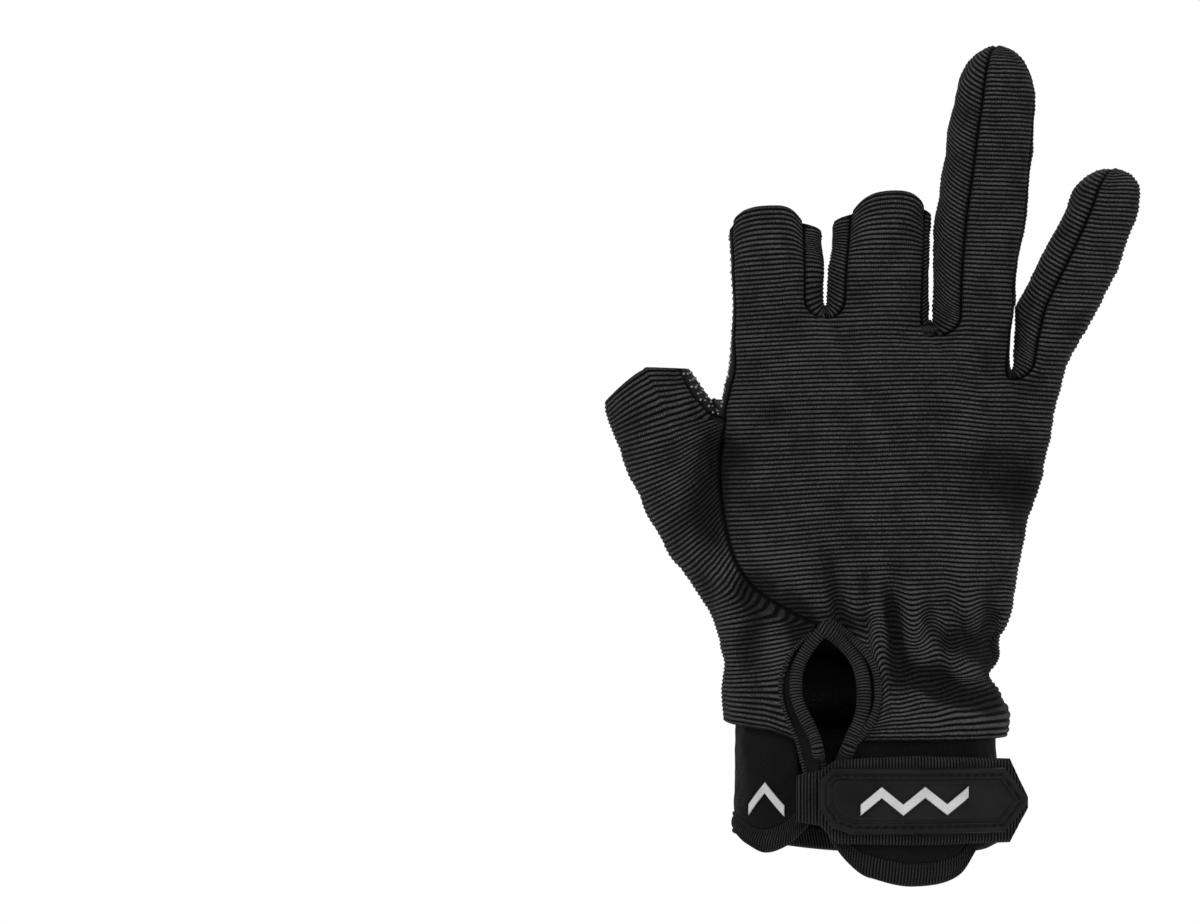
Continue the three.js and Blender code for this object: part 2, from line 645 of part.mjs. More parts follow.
// One side of one digit's strip, from the given heights up to its rim or tip. Its lower edge drops by slope.
function strip(sheet, name, side, heights, from, slope = 0) {
  const columns = Array.from({ length: 2 * halfColumns + 1 }, (_, i) => i / halfColumns - 1);
  const lower = (g, i) => (i === 0 ? (slope * (g + 1)) / 2 : 0);
  const rows = heights.map((z, i) => columns.map((g) => stripPoint(name, side, g, z - lower(g, i))));
  for (const level of digitLevels(name, from)) {
    rows.push(columns.map((g) => stripPoint(name, side, g, level.z ?? mix(from, rimHeight(name, side, g), level.share))));
  }
  sheet.grid(rows, side > 0);
}

// The strip that lines the gap above crotch k: up the right side of one digit and the left side of the next.
// Its edges are the seams on the back and on the palm.
const webColumns = 4;
function web(sheet, k) {
  const [left, right] = [digitNames[k], digitNames[k + 1]];
  const shared = (name) => {
    const from = name === 'thumb' ? crotchZ[0] : sharedTop;
    const low = highLevels.filter((z) => z > crotchZ[k] + nearly && z <= from + nearly).map((z) => ({ z }));
    return { from, levels: name === 'thumb' ? digitLevels(name, from) : [...low, ...digitLevels(name, from)] };
  };
  const across = (back, palm, way, lift) =>
    Array.from({ length: webColumns + 1 }, (_, i) => {
      if (i === 0) return back;
      if (i === webColumns) return palm;
      const from = back.clone().lerp(palm, i / webColumns);
      return leave(from.setZ(from.z + lift), way);
    });
  const bottomAt = (side) => stripPoint(right, side, -1, crotchZ[k]);
  const bottom = across(bottomAt(-1), bottomAt(1), new THREE.Vector3(0, 0, 1), 0);
  const rise = bottom[webColumns / 2].z - crotchZ[k]; // of the strip's middle above its seams
  const rowAt = (name, hand, level, from) => {
    const side = (s) => stripPoint(name, s, hand, level.z ?? mix(from, rimHeight(name, s, hand), level.share));
    const [back, palm] = [side(-1), side(1)];
    const turn = clamp(((back.z + palm.z) / 2 - crotchZ[k]) / turnHeight(k), 0, 1);
    const way = new THREE.Vector3(hand * turn, 0, 1 - turn);
    return across(back, palm, way, 2 * rise * turn * (1 - turn));
  };
  const leftArm = shared(left);
  const rightArm = shared(right);
  const rows = [...leftArm.levels].reverse().map((level) => rowAt(left, 1, level, leftArm.from));
  rows.push(bottom);
  for (const level of rightArm.levels) rows.push(rowAt(right, -1, level, rightArm.from));
  sheet.grid(rows, true);
}

const glove = new THREE.Group();

function add(name, geometry, material) {
  const mesh = new THREE.Mesh(geometry, material);
  mesh.name = name;
  glove.add(mesh);
}

const ribbed = new THREE.MeshStandardMaterial({ color: 0x1c1c1d, roughness: 0.85 });
const dotted = new THREE.MeshStandardMaterial({ color: 0x1f1f20, roughness: 0.8 });
const smooth = new THREE.MeshStandardMaterial({ color: 0x141415, roughness: 0.75 });
const rubber = new THREE.MeshStandardMaterial({ color: 0x121213, roughness: 0.45 });
const print = new THREE.MeshStandardMaterial({ color: 0xa6a7a6, roughness: 0.5 });

function addPanel(name, material, build) {
  const sheet = new Sheet();
  build(sheet);
  add(name, sheet.inset(seamGap / 2).thicken(fabricWall), material);
}

addPanel('back_panel', ribbed, (sheet) => {
  for (const name of digitNames.slice(1)) strip(sheet, name, -1, [...lowLevels, ...highLevels], sharedTop);
});
addPanel('thumb_panel', ribbed, (sheet) => {
  strip(sheet, 'thumb', -1, [...lowLevels.slice(tabRows), ...toThumb], crotchZ[0], tabSlope);
});
addPanel('palm_panel', dotted, (sheet) => {
  strip(sheet, 'thumb', 1, [...lowLevels, ...toThumb], crotchZ[0]);
  for (const name of digitNames.slice(1)) strip(sheet, name, 1, [...lowLevels, ...highLevels], sharedTop);
  web(sheet, 0);
});
addPanel('fourchette_index_middle', ribbed, (sheet) => web(sheet, 1));
addPanel('fourchette_middle_ring', ribbed, (sheet) => web(sheet, 2));
addPanel('fourchette_ring_little', ribbed, (sheet) => web(sheet, 3));

// The cuff's outline. turn is 0 in the middle of the back and grows by the thumb side; out is the distance outside
// the cuff's own skin.
const power = (value) => Math.sign(value) * abs(value) ** (2 / cuffCorner);
const flareAt = (z) => cuffFlare * (1 - z / fabricEdge);
function cuffPoint(turn, z, out) {
  const a = cuffHalfWidth + flareAt(z) + out;
  const b = cuffHalfDepth + flareAt(z) + out;
  return new THREE.Vector3(cuffShift - a * power(sin(turn)), -b * power(cos(turn)), z);
}
function cuffTurn(c, z) {
  const a = cuffHalfWidth + flareAt(z);
  const edge = (column) => asin(((-read(slitRows, 'z', column, z / fabricEdge) * cuffHalfWidth) / a) ** (cuffCorner / 2));
  return mix(edge('tab'), 2 * PI + edge('flap'), c);
}

// A closed solid between two grids of the same shape. outer faces away from inner.
function between(outer, inner) {
  const faces = [];
  const [rows, columns] = [outer.length, outer[0].length];
  const at = (i, j, below) => i * columns + j + (below ? rows * columns : 0);
  const quad = (a, b, c, d) => faces.push([a, b, c], [a, c, d]);
  for (let i = 1; i < rows; i += 1) {
    for (let j = 1; j < columns; j += 1) {
      quad(at(i - 1, j - 1), at(i - 1, j), at(i, j), at(i, j - 1));
      quad(at(i - 1, j - 1, true), at(i, j - 1, true), at(i, j, true), at(i - 1, j, true));
    }
    quad(at(i, 0), at(i, 0, true), at(i - 1, 0, true), at(i - 1, 0));
    quad(at(i - 1, columns - 1), at(i - 1, columns - 1, true), at(i, columns - 1, true), at(i, columns - 1));
  }
  for (let j = 1; j < columns; j += 1) {
    quad(at(0, j - 1), at(0, j - 1, true), at(0, j, true), at(0, j));
    quad(at(rows - 1, j), at(rows - 1, j, true), at(rows - 1, j - 1, true), at(rows - 1, j - 1));
  }
  return solid([...outer.flat(), ...inner.flat()], faces);
}

// A band of the cuff between two edges, seen from outside, running from the flap back to the tab.
const cuffColumns = 56;
function cuffBand(low, high, outer, inner, count) {
  const grid = (out) =>
    Array.from({ length: count + 1 }, (_, i) =>
      Array.from({ length: cuffColumns + 1 }, (_, j) => {
        const c = 1 - j / cuffColumns;
        const z = mix(low(c), high(c), i / count);
        return cuffPoint(cuffTurn(c, z), z, out);
      }),
    );
  return between(grid(outer), grid(inner));
}
const hemLow = (c) => read(hemRows, 'c', 'low', c) * fabricEdge;
const hemHigh = (c) => hemLow(c) + hemHeight;
const cuffHigh = (c) => fabricEdge + read(cuffTopRows, 'c', 'rise', c) * cuffLap;
add('cuff', cuffBand((c) => hemHigh(c) + seamGap, cuffHigh, 0, -cuffWall, 4), smooth);
add('cuff_hem', cuffBand(hemLow, hemHigh, hemProud, -cuffWall - hemProud, 2), smooth);

// A rounded cord along one edge of the keyhole: side is -1 for the thumb side.
const bindingSides = 10;
const bindingRows = 14;
const bindingClear = 0.25;
function binding(side, top, width) {
  const edge = (z) => thumbSeam(z) + side * keyholeHalf(z);
  const middle = (z) => {
    const lean = edge(z + 0.1) - edge(z - 0.1);
    const into = new THREE.Vector3(-side * 0.2, 0, side * lean).setLength(seamGap + bindingClear + width / 2);
    const from = new THREE.Vector3(edge(z), 0, z).add(into);
    const skin = leave(from, new THREE.Vector3(0, -1, 0));
    // it sinks into the fabric's depth, and below the fabric stands clear of the cuff
    const sink = clamp((z - fabricEdge) / cuffLap - 0.5, -1, 1) * (bindingDepth / 4);
    return skin.add(new THREE.Vector3(0, sink, 0));
  };
  const centres = Array.from({ length: bindingRows + 1 }, (_, i) => {
    const share = i / bindingRows;
    return middle(mix(bindingBottom, top, 1 - (1 - share) ** 1.6));
  });
  const rings = centres.map((p, i) => {
    const along = centres[min(bindingRows, i + 1)].clone().sub(centres[max(0, i - 1)]).normalize();
    const out = new THREE.Vector3(0, -1, 0);
    out.addScaledVector(along, -out.dot(along)).normalize();
    const across = along.clone().cross(out);
    return Array.from({ length: bindingSides }, (_, j) => {
      const angle = (2 * PI * j) / bindingSides;
      const q = p.clone().addScaledVector(across, (-cos(angle) * width) / 2);
      return q.addScaledVector(out, (sin(angle) * bindingDepth) / 2);
    });
  });
  const faces = [];
  const id = (i, j) => i * bindingSides + (j % bindingSides);
  for (let i = 1; i < rings.length; i += 1) {
    for (let j = 0; j < bindingSides; j += 1) {
      faces.push([id(i - 1, j), id(i, j + 1), id(i, j)], [id(i - 1, j), id(i - 1, j + 1), id(i, j + 1)]);
    }
  }
  const last = rings.length * bindingSides;
  for (let j = 0; j < bindingSides; j += 1) {
    faces.push([last, id(0, j + 1), id(0, j)], [last + 1, id(rings.length - 1, j), id(rings.length - 1, j + 1)]);
  }
  return solid([...rings.flat(), centres[0], centres[bindingRows]], faces);
}
add('keyhole_binding_right', binding(1, keyholeTop - 0.9, bindingWidth), ribbed);
add('keyhole_binding_left', binding(-1, keyholeTop - 4.8, bindingWidth + bandWidth), ribbed);

// The strap's run: y and the way out at x, at a distance outside the cuff's hem. Past strapLeaves it runs straight on.
const strapClear = 0.5;
function strapPoint(x, z, out) {
  const a = cuffHalfWidth + cuffFlare + hemProud + strapClear;
  const b = cuffHalfDepth + cuffFlare + hemProud + strapClear;
  const arc = (u) => -b * (1 - abs((u - cuffShift) / a) ** cuffCorner) ** (1 / cuffCorner);
  const slope = (u) => (arc(u + 0.01) - arc(u - 0.01)) / 0.02;
  const u = clamp(x, -strapLeaves, strapLeaves);
  const tilt = slope(u);
  const away = hypot(1, tilt);
  return new THREE.Vector3(x + (tilt * out) / away, arc(u) + tilt * (x - u) - out / away, z);
}

// A plate on the strap's run: stations are shares along it; profile lists shares across it with their heights.
function plate(from, to, stations, low, high, base, profile) {
  const grid = (height) =>
    stations.map((share) => {
      const x = mix(from, to, share);
      return profile.map(([across, top]) => strapPoint(x, mix(low(share), high(share), across), base + height(top, share)));
    });
  return between(grid(() => 0), grid((height) => height));
}
const evenly = (count) => Array.from({ length: count + 1 }, (_, i) => i / count);
const onStrap = (rows, column) => (share) => strapMiddle + read(rows, 'x', column, share) * strapWidth;
add(
  'strap',
  plate(strapRoot, strapReach, evenly(30), onStrap(strapRows, 'low'), onStrap(strapRows, 'high'), 0, [
    [0, strapWall],
    [0.33, strapWall],
    [0.67, strapWall],
    [1, strapWall],
  ]),
  ribbed,
);
const onPatch = (column) => (share) => strapMiddle + read(patchRows, 'x', column, share) * patchWidth;
const rimShare = patchRimWidth / patchWidth;
const patchBase = strapWall + seamGap / 2;
add(
  'strap_patch',
  plate(patchLeft, patchRight, evenly(26), onPatch('low'), onPatch('high'), patchBase, [
    [0, patchWall],
    [rimShare * 0.3, patchWall + patchRim],
    [rimShare, patchWall + patchRim],
    [rimShare * 1.3, patchWall],
    [1 - rimShare * 1.3, patchWall],
    [1 - rimShare, patchWall + patchRim],
    [1 - rimShare * 0.3, patchWall + patchRim],
    [1, patchWall],
  ]),
  rubber,
);

// A raised zigzag on the patch and a chevron on the cuff's tab. A wave has its corners at stations.
const wave = (corners) => (share) => {
  const at = share * corners;
  const part = at - Math.floor(at);
  return Math.floor(at) % 2 ? 1 - part : part;
};
const markCorners = 5;
const markFrom = -3.2;
const markTo = 23.6;
const markRise = 4.6; // from its lower corners to its upper ones
const markLow = (share) => strapMiddle + (wave(markCorners)(share) - 0.5) * markRise - markWidth / 2;
add(
  'patch_mark',
  plate(
    markFrom, markTo, evenly(markCorners * 3), markLow, (share) => markLow(share) + markWidth,
    patchBase + patchWall + seamGap / 2,
    [[0, printWall], [1, printWall]],
  ),
  print,
);
const tabMarkFrom = 0.62; // turn round the cuff
const tabMarkTo = 1.05;
const tabMarkLow = 18;
const tabMarkRise = 6;
const tabMarkGrid = (out) =>
  [0, 1].map((high) =>
    evenly(8).map((share) => {
      const z = tabMarkLow + wave(2)(share) * tabMarkRise + high * markWidth;
      return cuffPoint(mix(tabMarkTo, tabMarkFrom, share), z, out);
    }),
  );
add('tab_mark', between(tabMarkGrid(seamGap / 2 + printWall), tabMarkGrid(seamGap / 2)), print);

export default glove;
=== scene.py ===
# The looks of a fishing glove for the right hand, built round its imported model.
# Sizes and tables are in millimetres, as in the model's source. Meshes are written in metres.
# +X runs to the little finger's side, +Z up the fingers, and the back of the hand faces -Y.
import math

import bpy
import numpy as np
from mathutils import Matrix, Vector, kdtree


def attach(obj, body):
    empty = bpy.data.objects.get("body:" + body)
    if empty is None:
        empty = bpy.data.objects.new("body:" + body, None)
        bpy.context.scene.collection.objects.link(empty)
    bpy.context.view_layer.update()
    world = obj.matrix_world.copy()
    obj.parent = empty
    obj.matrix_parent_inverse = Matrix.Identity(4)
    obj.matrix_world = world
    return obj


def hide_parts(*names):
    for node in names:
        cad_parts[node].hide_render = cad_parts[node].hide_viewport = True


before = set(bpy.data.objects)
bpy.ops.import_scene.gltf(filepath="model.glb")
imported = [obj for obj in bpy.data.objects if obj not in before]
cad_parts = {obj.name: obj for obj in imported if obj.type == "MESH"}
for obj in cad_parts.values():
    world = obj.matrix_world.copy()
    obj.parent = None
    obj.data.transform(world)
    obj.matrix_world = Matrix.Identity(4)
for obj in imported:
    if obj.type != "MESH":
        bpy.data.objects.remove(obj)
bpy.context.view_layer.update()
MM = 0.001

# The hand part's driving sizes.
FABRIC_WALL = 1.6
WRIST_HEIGHT = 37
PALM_LENGTH = 110
PALM_WIDTH = 86
PALM_DEPTH = 36
CROTCH_ROUND = 18
CROTCH_RISE = 2
SEAM_TURN = 5
THUMB_TURN = 8
FABRIC_EDGE = 38
EDGE_ROUND = 15
SEAM_CLEARANCE = 6
FAN_RISE = 14
THUMB_FILLET = 7
FINGER_FILLET = 2
CROTCH_FILLET = 0.5
TAB_EDGE = 43  # where the thumb panel starts at its outer seam

# The cuff's, keyhole's and strap's driving sizes.
CUFF_LAP = 2.6
CUFF_WALL = 2
CUFF_SHIFT = -0.6
CUFF_HALF_WIDTH = 34.3
CUFF_HALF_DEPTH = 22.3
CUFF_CORNER = 2.3
CUFF_FLARE = 1.2
HEM_HEIGHT = 6.4
HEM_PROUD = 0.5
HEM_WALL = 3
HEM_GROOVE = 1.6  # from the hem's edges to the middle of its stitched groove
HEM_GROOVE_DEPTH = 0.45
SEAM_GAP = 0.5
KEYHOLE_TOP = 68
KEYHOLE_WIDEST = 51
KEYHOLE_HALF_WIDTH = 12.2
KEYHOLE_NARROWING = 0.33
LEFT_ROLL_WIDTH = 3.3
RIGHT_ROLL_WIDTH = 3.9
BINDING_DEPTH = 3
BINDING_RIB = 0.75
STRAP_WALL = 1.8
STRAP_REACH = 41
STRAP_ROOT = -19.5
STRAP_MIDDLE = 22.6
STRAP_WIDTH = 23.4
STRAP_LEAVES = 22
STRAP_CLEAR = 0.5
NECK_PLEAT = 1.9
PATCH_WALL = 1.3
PATCH_RIM = 0.8
PATCH_RIM_WIDTH = 3
PATCH_GROOVE = 1.95  # from the patch's edge to the middle of its stitched groove
PATCH_WIDTH = 17.5
PATCH_LEFT = -13.5
PATCH_RIGHT = 39.8
PRINT_WALL = 0.6
MARK_WIDTH = 3

# Folds and gathers that the model has.
FOLD_HEIGHT = 2
FOLD_WIDTH = 7
ELASTIC_HEIGHT = 64
GATHER_PITCH = 12.5
GATHER_HEIGHT = 0.9
GATHER_REACH = 13

# The knit: height of one rib, mesh rows in a rib, and columns across one finger's strip.
RIB = 1.15
ROWS_PER_RIB = 4
STRIP_COLUMNS = 20
RIB_HEIGHT = 0.17
PANEL_ROUND = 1.15  # how far from its edges a panel rounds off into the seams
PUCKER_HEIGHT = 0.12
PUCKER_PITCH = 3.4
PUCKER_REACH = 1.5
BAND_RIB = 0.85  # pitch of the cross ribs on the hem and the strap
PATCH_STITCH = 2.3  # pitch of the stitches round the patch


def table(names, rows):
    """A table with named columns. The first column is the one that it is read by."""
    columns = names.split()
    values = np.array(rows, dtype=float)
    return {"key": columns[0], **{name: values[:, i] for i, name in enumerate(columns)}}


BODY = table("t left right back palm", [
    (-0.03, -0.444, 0.408, -0.682, 0.684),
    (0.015, -0.444, 0.418, -0.688, 0.695),
    (0.07, -0.446, 0.443, -0.695, 0.71),
    (0.125, -0.443, 0.428, -0.67, 0.68),
    (0.155, -0.435, 0.402, -0.645, 0.66),
    (0.19, -0.422, 0.42, -0.62, 0.65),
    (0.245, -0.42, 0.406, -0.59, 0.61),
    (0.33, -0.405, 0.437, -0.58, 0.55),
    (0.44, -0.4, 0.467, -0.555, 0.5),
    (0.53, -0.405, 0.501, -0.53, 0.47),
    (0.64, -0.445, 0.532, -0.5, 0.445),
    (0.75, -0.462, 0.54, -0.465, 0.415),
    (0.85, -0.42, 0.535, -0.43, 0.385),
    (0.95, -0.4, 0.5, -0.4, 0.36),
    (1.06, -0.39, 0.45, -0.375, 0.335),
])
TOP = table("x t", [(-0.45, 1.02), (-0.129, 1.036), (0.188, 0.991), (0.436, 0.888), (0.58, 0.79)])
DIGITS = {
    "thumb": {
        "base": 0.19, "length": 74, "depth": 32, "root": 22, "open": True,
        "seams": {(-1, -1): -0.98, (-1, 1): 0.78, (1, -1): -0.62, (1, 1): 0.72},
        "rows": table("t left right depth curl", [
            (0, -0.412, -0.058, 1.02, 0.02),
            (0.21, -0.5, -0.116, 0.98, 0.07),
            (0.42, -0.629, -0.245, 0.92, 0.1),
            (0.64, -0.722, -0.362, 0.86, 0.115),
            (0.85, -0.79, -0.452, 0.79, 0.125),
            (1.03, -0.835, -0.54, 0.74, 0.145),
            (1.12, -0.86, -0.577, 0.72, 0.155),
        ]),
    },
    "index": {
        "base": 1.036, "length": 26, "depth": 21, "root": 14, "open": True,
        "dome": 3.6, "cut_slope": 0, "drop": 9,
        "seams": {(-1, -1): -0.97, (-1, 1): 0.6, (1, -1): -0.82, (1, 1): 0.42},
        "rows": table("t left right depth curl", [
            (-1.15, -0.462, -0.151, 1, -0.06),
            (-0.6, -0.424, -0.147, 1, -0.05),
            (0, -0.413, -0.141, 1, -0.03),
            (0.55, -0.422, -0.139, 0.985, 0.05),
            (1.2, -0.428, -0.147, 0.97, 0.14),
        ]),
    },
    "middle": {
        "base": 1, "length": 33.4, "depth": 21.5, "root": 14, "open": True,
        "dome": 4.5, "cut_slope": 0.05, "drop": 8,
        "seams": {(-1, -1): -0.7, (-1, 1): 0.88, (1, -1): -0.79, (1, 1): 0.47},
        "rows": table("t left right depth curl", [
            (-1, -0.112, 0.168, 1, -0.05),
            (0, -0.125, 0.184, 1, -0.03),
            (0.3, -0.123, 0.187, 1, 0),
            (0.72, -0.109, 0.192, 0.985, 0.06),
            (1.2, -0.088, 0.207, 0.97, 0.14),
        ]),
    },
    "ring": {
        "base": 1, "length": 75, "depth": 21, "root": 14, "open": False, "cap": 0.83,
        "seams": {(-1, -1): -0.36, (-1, 1): 0.97, (1, -1): -0.85, (1, 1): 0.5},
        "rows": table("t left right depth curl", [
            (-0.45, 0.15, 0.39, 1, -0.02),
            (-0.187, 0.188, 0.424, 1, -0.018),
            (0, 0.197, 0.443, 1, -0.012),
            (0.17, 0.2, 0.454, 0.99, 0),
            (0.37, 0.208, 0.487, 0.97, 0.03),
            (0.54, 0.233, 0.502, 0.94, 0.06),
            (0.71, 0.256, 0.517, 0.9, 0.09),
            (0.83, 0.279, 0.52, 0.86, 0.115),
            (1, 0.297, 0.514, 0.8, 0.15),
        ]),
    },
    "little": {
        "base": 0.882, "length": 55, "depth": 19.5, "root": 14, "open": False, "cap": 0.87,
        "seams": {(-1, -1): -0.36, (-1, 1): 0.97, (1, -1): -0.66, (1, 1): 0.78},
        "rows": table("t left right depth curl", [
            (-0.45, 0.37, 0.535, 1, -0.03),
            (-0.007, 0.448, 0.601, 1, -0.012),
            (0.107, 0.45, 0.631, 1, 0),
            (0.224, 0.453, 0.674, 0.99, 0.01),
            (0.338, 0.464, 0.715, 0.98, 0.025),
            (0.571, 0.54, 0.788, 0.95, 0.065),
            (0.8, 0.616, 0.838, 0.9, 0.115),
            (0.916, 0.648, 0.85, 0.88, 0.14),
            (1, 0.674, 0.855, 0.86, 0.16),
        ]),
    },
}
NAMES = ["thumb", "index", "middle", "ring", "little"]
THUMB_SEAM = table("t x", [
    (-0.05, -0.131), (0.27, -0.14), (0.31, -0.235), (0.365, -0.348), (0.42, -0.403), (0.48, -0.432),
    (0.57, -0.452), (0.66, -0.457), (0.775, -0.446),
])
THUMB_GROOVE = table("t x", [
    (-0.05, -0.2), (0.3, -0.27), (0.5, -0.33), (0.62, -0.375), (0.673, -0.402), (0.727, -0.432),
    (0.775, -0.446),
])
# The model's folds: side, ends as shares of the palm's width and length, share of height and width.
FOLDS = [
    (1, 0.12, 0.94, -0.36, 0.79, -1.1, 0.75),
    (1, 0.06, 1.0, -0.34, 0.86, 0.5, 0.9),
    (1, 0.42, 0.13, 0, 0.12, -1.1, 1),
    (1, 0, 0.12, -0.4, 0.2, -0.9, 1),
    (1, 0.44, 0.3, 0.3, 0.33, -0.5, 0.8),
    (-1, 0.12, 0.17, 0.44, 0.09, -0.9, 0.75),
    (-1, 0.24, 0.245, 0.44, 0.17, -0.6, 0.6),
    (-1, 0.1, 0.08, 0.4, 0.03, 0.5, 1),
    (-1, 0.36, 0.66, 0.5, 0.58, -0.7, 1),
    (-1, -0.36, 0.36, -0.12, 0.27, -0.8, 0.8),
    (-1, -0.46, 0.7, -0.5, 0.54, -0.9, 0.8),
]
HEM = table("c low", [
    (0, 0.42), (0.035, 0.28), (0.075, 0.222), (0.12, 0.27), (0.17, 0.33), (0.3, 0.25), (0.42, 0.17),
    (0.52, 0.15), (0.62, 0.19), (0.72, 0.27), (0.8, 0.27), (0.847, 0.065), (0.914, 0), (0.957, 0.06),
    (0.978, 0.17), (1, 0.34),
])
CUFF_TOP = table("c rise", [(0, 1), (0.1, 1.9), (0.18, 2.6), (0.26, 1.3), (0.32, 1), (1, 1)])
SLIT = table("z tab flap", [(0.3, -0.44, -0.32), (0.65, -0.5, -0.25), (1, -0.56, -0.17)])
STRAP = table("x low high", [
    (0, -0.24, 0.28), (0.1, -0.28, 0.34), (0.17, -0.48, 0.46), (0.5, -0.5, 0.5), (0.92, -0.49, 0.45),
    (1, -0.1, 0),
])
PATCH = table("x low high", [
    (0, -0.1, 0.3), (0.06, -0.4, 0.5), (0.15, -0.5, 0.5), (0.88, -0.5, 0.48), (1, -0.08, 0),
])


def mix(a, b, share):
    return a + (b - a) * share


def ease(value):
    share = np.clip(value, 0, 1)
    return share * share * (3 - 2 * share)


def bell(value):
    return np.exp(-value * value)


def palm_z(t):
    return WRIST_HEIGHT + t * PALM_LENGTH


def palm_t(z):
    return (z - WRIST_HEIGHT) / PALM_LENGTH


def read(rows, column, at):
    """A smooth curve through one column of a table."""
    keys = rows[rows["key"]]
    values = rows[column]
    last = len(keys) - 1
    at = np.clip(at, keys[0], keys[last])
    i = np.clip(np.searchsorted(keys, at) - 1, 0, last - 1)
    before = np.maximum(np.arange(last + 1) - 1, 0)
    after = np.minimum(np.arange(last + 1) + 1, last)
    slope = (values[after] - values[before]) / (keys[after] - keys[before])
    span = keys[i + 1] - keys[i]
    u = (at - keys[i]) / span
    start = values[i] * (1 + 2 * u) * (1 - u) ** 2 + values[i + 1] * u * u * (3 - 2 * u)
    return start + span * (slope[i] * u * (1 - u) ** 2 - slope[i + 1] * u * u * (1 - u))


CROTCH_Z = [palm_z(0.775)] + [palm_z(t) - CROTCH_RISE for t in (1.036, 0.991, 0.888)]
CROTCH_X = [share * PALM_WIDTH for share in (-0.446, -0.129, 0.188, 0.44)]
LINE_FOOT = {-1: (0, 0.08, 0.17, 0.26), 1: (0, -0.03, 0.12, 0.26)}  # shares of the width at the fabric's edge
SHARED_TOP = CROTCH_Z[1]


def digit_section(name, z):
    """A digit's centre x and y, half width and half depth at height z."""
    digit = DIGITS[name]
    t = (z - palm_z(digit["base"])) / digit["length"]
    left = read(digit["rows"], "left", t) * PALM_WIDTH
    right = read(digit["rows"], "right", t) * PALM_WIDTH
    half_depth = read(digit["rows"], "depth", t) * digit["depth"] / 2
    curl = read(digit["rows"], "curl", t) * digit["length"]
    return (left + right) / 2, curl, (right - left) / 2, half_depth


def body_section(z):
    t = palm_t(z)
    left = read(BODY, "left", t) * PALM_WIDTH
    right = read(BODY, "right", t) * PALM_WIDTH
    back = read(BODY, "back", t) * PALM_DEPTH
    palm = read(BODY, "palm", t) * PALM_DEPTH
    return (left + right) / 2, (back + palm) / 2, (right - left) / 2, (palm - back) / 2


def digit_tip(name):
    return palm_z(DIGITS[name]["base"]) + DIGITS[name]["length"]


def cap_start(name):
    return digit_tip(name) - (1 - DIGITS[name]["cap"]) * DIGITS[name]["length"]


def digit_field(name, x, y, z):
    digit = DIGITS[name]
    cx, cy, w, b = digit_section(name, z)
    root_z = palm_z(digit["base"]) + digit["rows"]["t"][0] * digit["length"]
    root = np.maximum(0, root_z - z) / digit["root"]
    tip = 0
    if not digit["open"]:
        start = cap_start(name)
        tip = np.maximum(0, z - start) / (digit_tip(name) - start)
    return (np.sqrt(((x - cx) / w) ** 2 + ((y - cy) / b) ** 2 + root ** 2 + tip ** 2) - 1) * b


def body_field(x, y, z):
    cx, cy, w, b = body_section(z)
    corner = mix(2.25, 2.7, ease(palm_t(z) * 1.5))
    side = (np.abs(x - cx) / w) ** corner
    top = palm_z(read(TOP, "t", x / PALM_WIDTH))
    over = np.maximum(0, z - (top - CROTCH_ROUND)) / CROTCH_ROUND
    thinning = over ** corner * np.maximum(0.02, 1 - side)
    return ((side + (np.abs(y - cy) / b) ** corner + thinning) ** (1 / corner) - 1) * b


def near_line(x, z, x1, z1, x2, z2):
    """The share of the way along a line that is nearest to each point, and how far away it is."""
    dx = x2 - x1
    dz = z2 - z1
    share = np.clip(((x - x1) * dx + (z - z1) * dz) / (dx * dx + dz * dz), 0, 1)
    return share, np.hypot(x - x1 - dx * share, z - z1 - dz * share)


def fold_field(x, y, z):
    out = np.zeros_like(x)
    for side, x1, t1, x2, t2, height, width in FOLDS:
        _, away = near_line(x, z, x1 * PALM_WIDTH, palm_z(t1), x2 * PALM_WIDTH, palm_z(t2))
        on_side = ease(0.5 + side * y / (FOLD_WIDTH * 2))
        out += height * FOLD_HEIGHT * bell(away / (width * FOLD_WIDTH)) * on_side
    fade = bell((z - ELASTIC_HEIGHT) / GATHER_REACH) * ease(0.5 - y / FOLD_WIDTH)
    return out + GATHER_HEIGHT * fade * np.cos(2 * math.pi * x / GATHER_PITCH)


def join(a, b, k):
    h = np.maximum(k - np.abs(a - b), 0) / k
    return np.minimum(a, b) - h * h * k / 4


def glove_field(p):
    x, y, z = p[:, 0], p[:, 1], p[:, 2]
    fingers = digit_field("index", x, y, z)
    for name in NAMES[2:]:
        fingers = join(fingers, digit_field(name, x, y, z), CROTCH_FILLET)
    hand = join(body_field(x, y, z), digit_field("thumb", x, y, z), THUMB_FILLET)
    return join(hand, fingers, FINGER_FILLET) - fold_field(x, y, z)


def leave(start, way):
    """The first points where rays from inside leave the glove."""
    way = way / np.linalg.norm(way, axis=1)[:, None]
    near = np.zeros(len(start))
    far = np.zeros(len(start))
    depth = -glove_field(start)
    inside = depth > 0
    going = np.flatnonzero(inside)
    while len(going):
        near[going] = far[going]
        far[going] += np.clip(depth[going] * 0.5, 0.2, 1.5)
        depth[going] = -glove_field(start[going] + way[going] * far[going, None])
        going = going[(depth[going] > 0) & (far[going] < 60)]
    for _ in range(13):
        half = (near + far) / 2
        within = (glove_field(start + way * half[:, None]) < 0) & inside
        near = np.where(within, half, near)
        far = np.where(within, far, half)
    return start + way * near[:, None]


def turn_height(k):
    return THUMB_TURN if k == 0 else SEAM_TURN


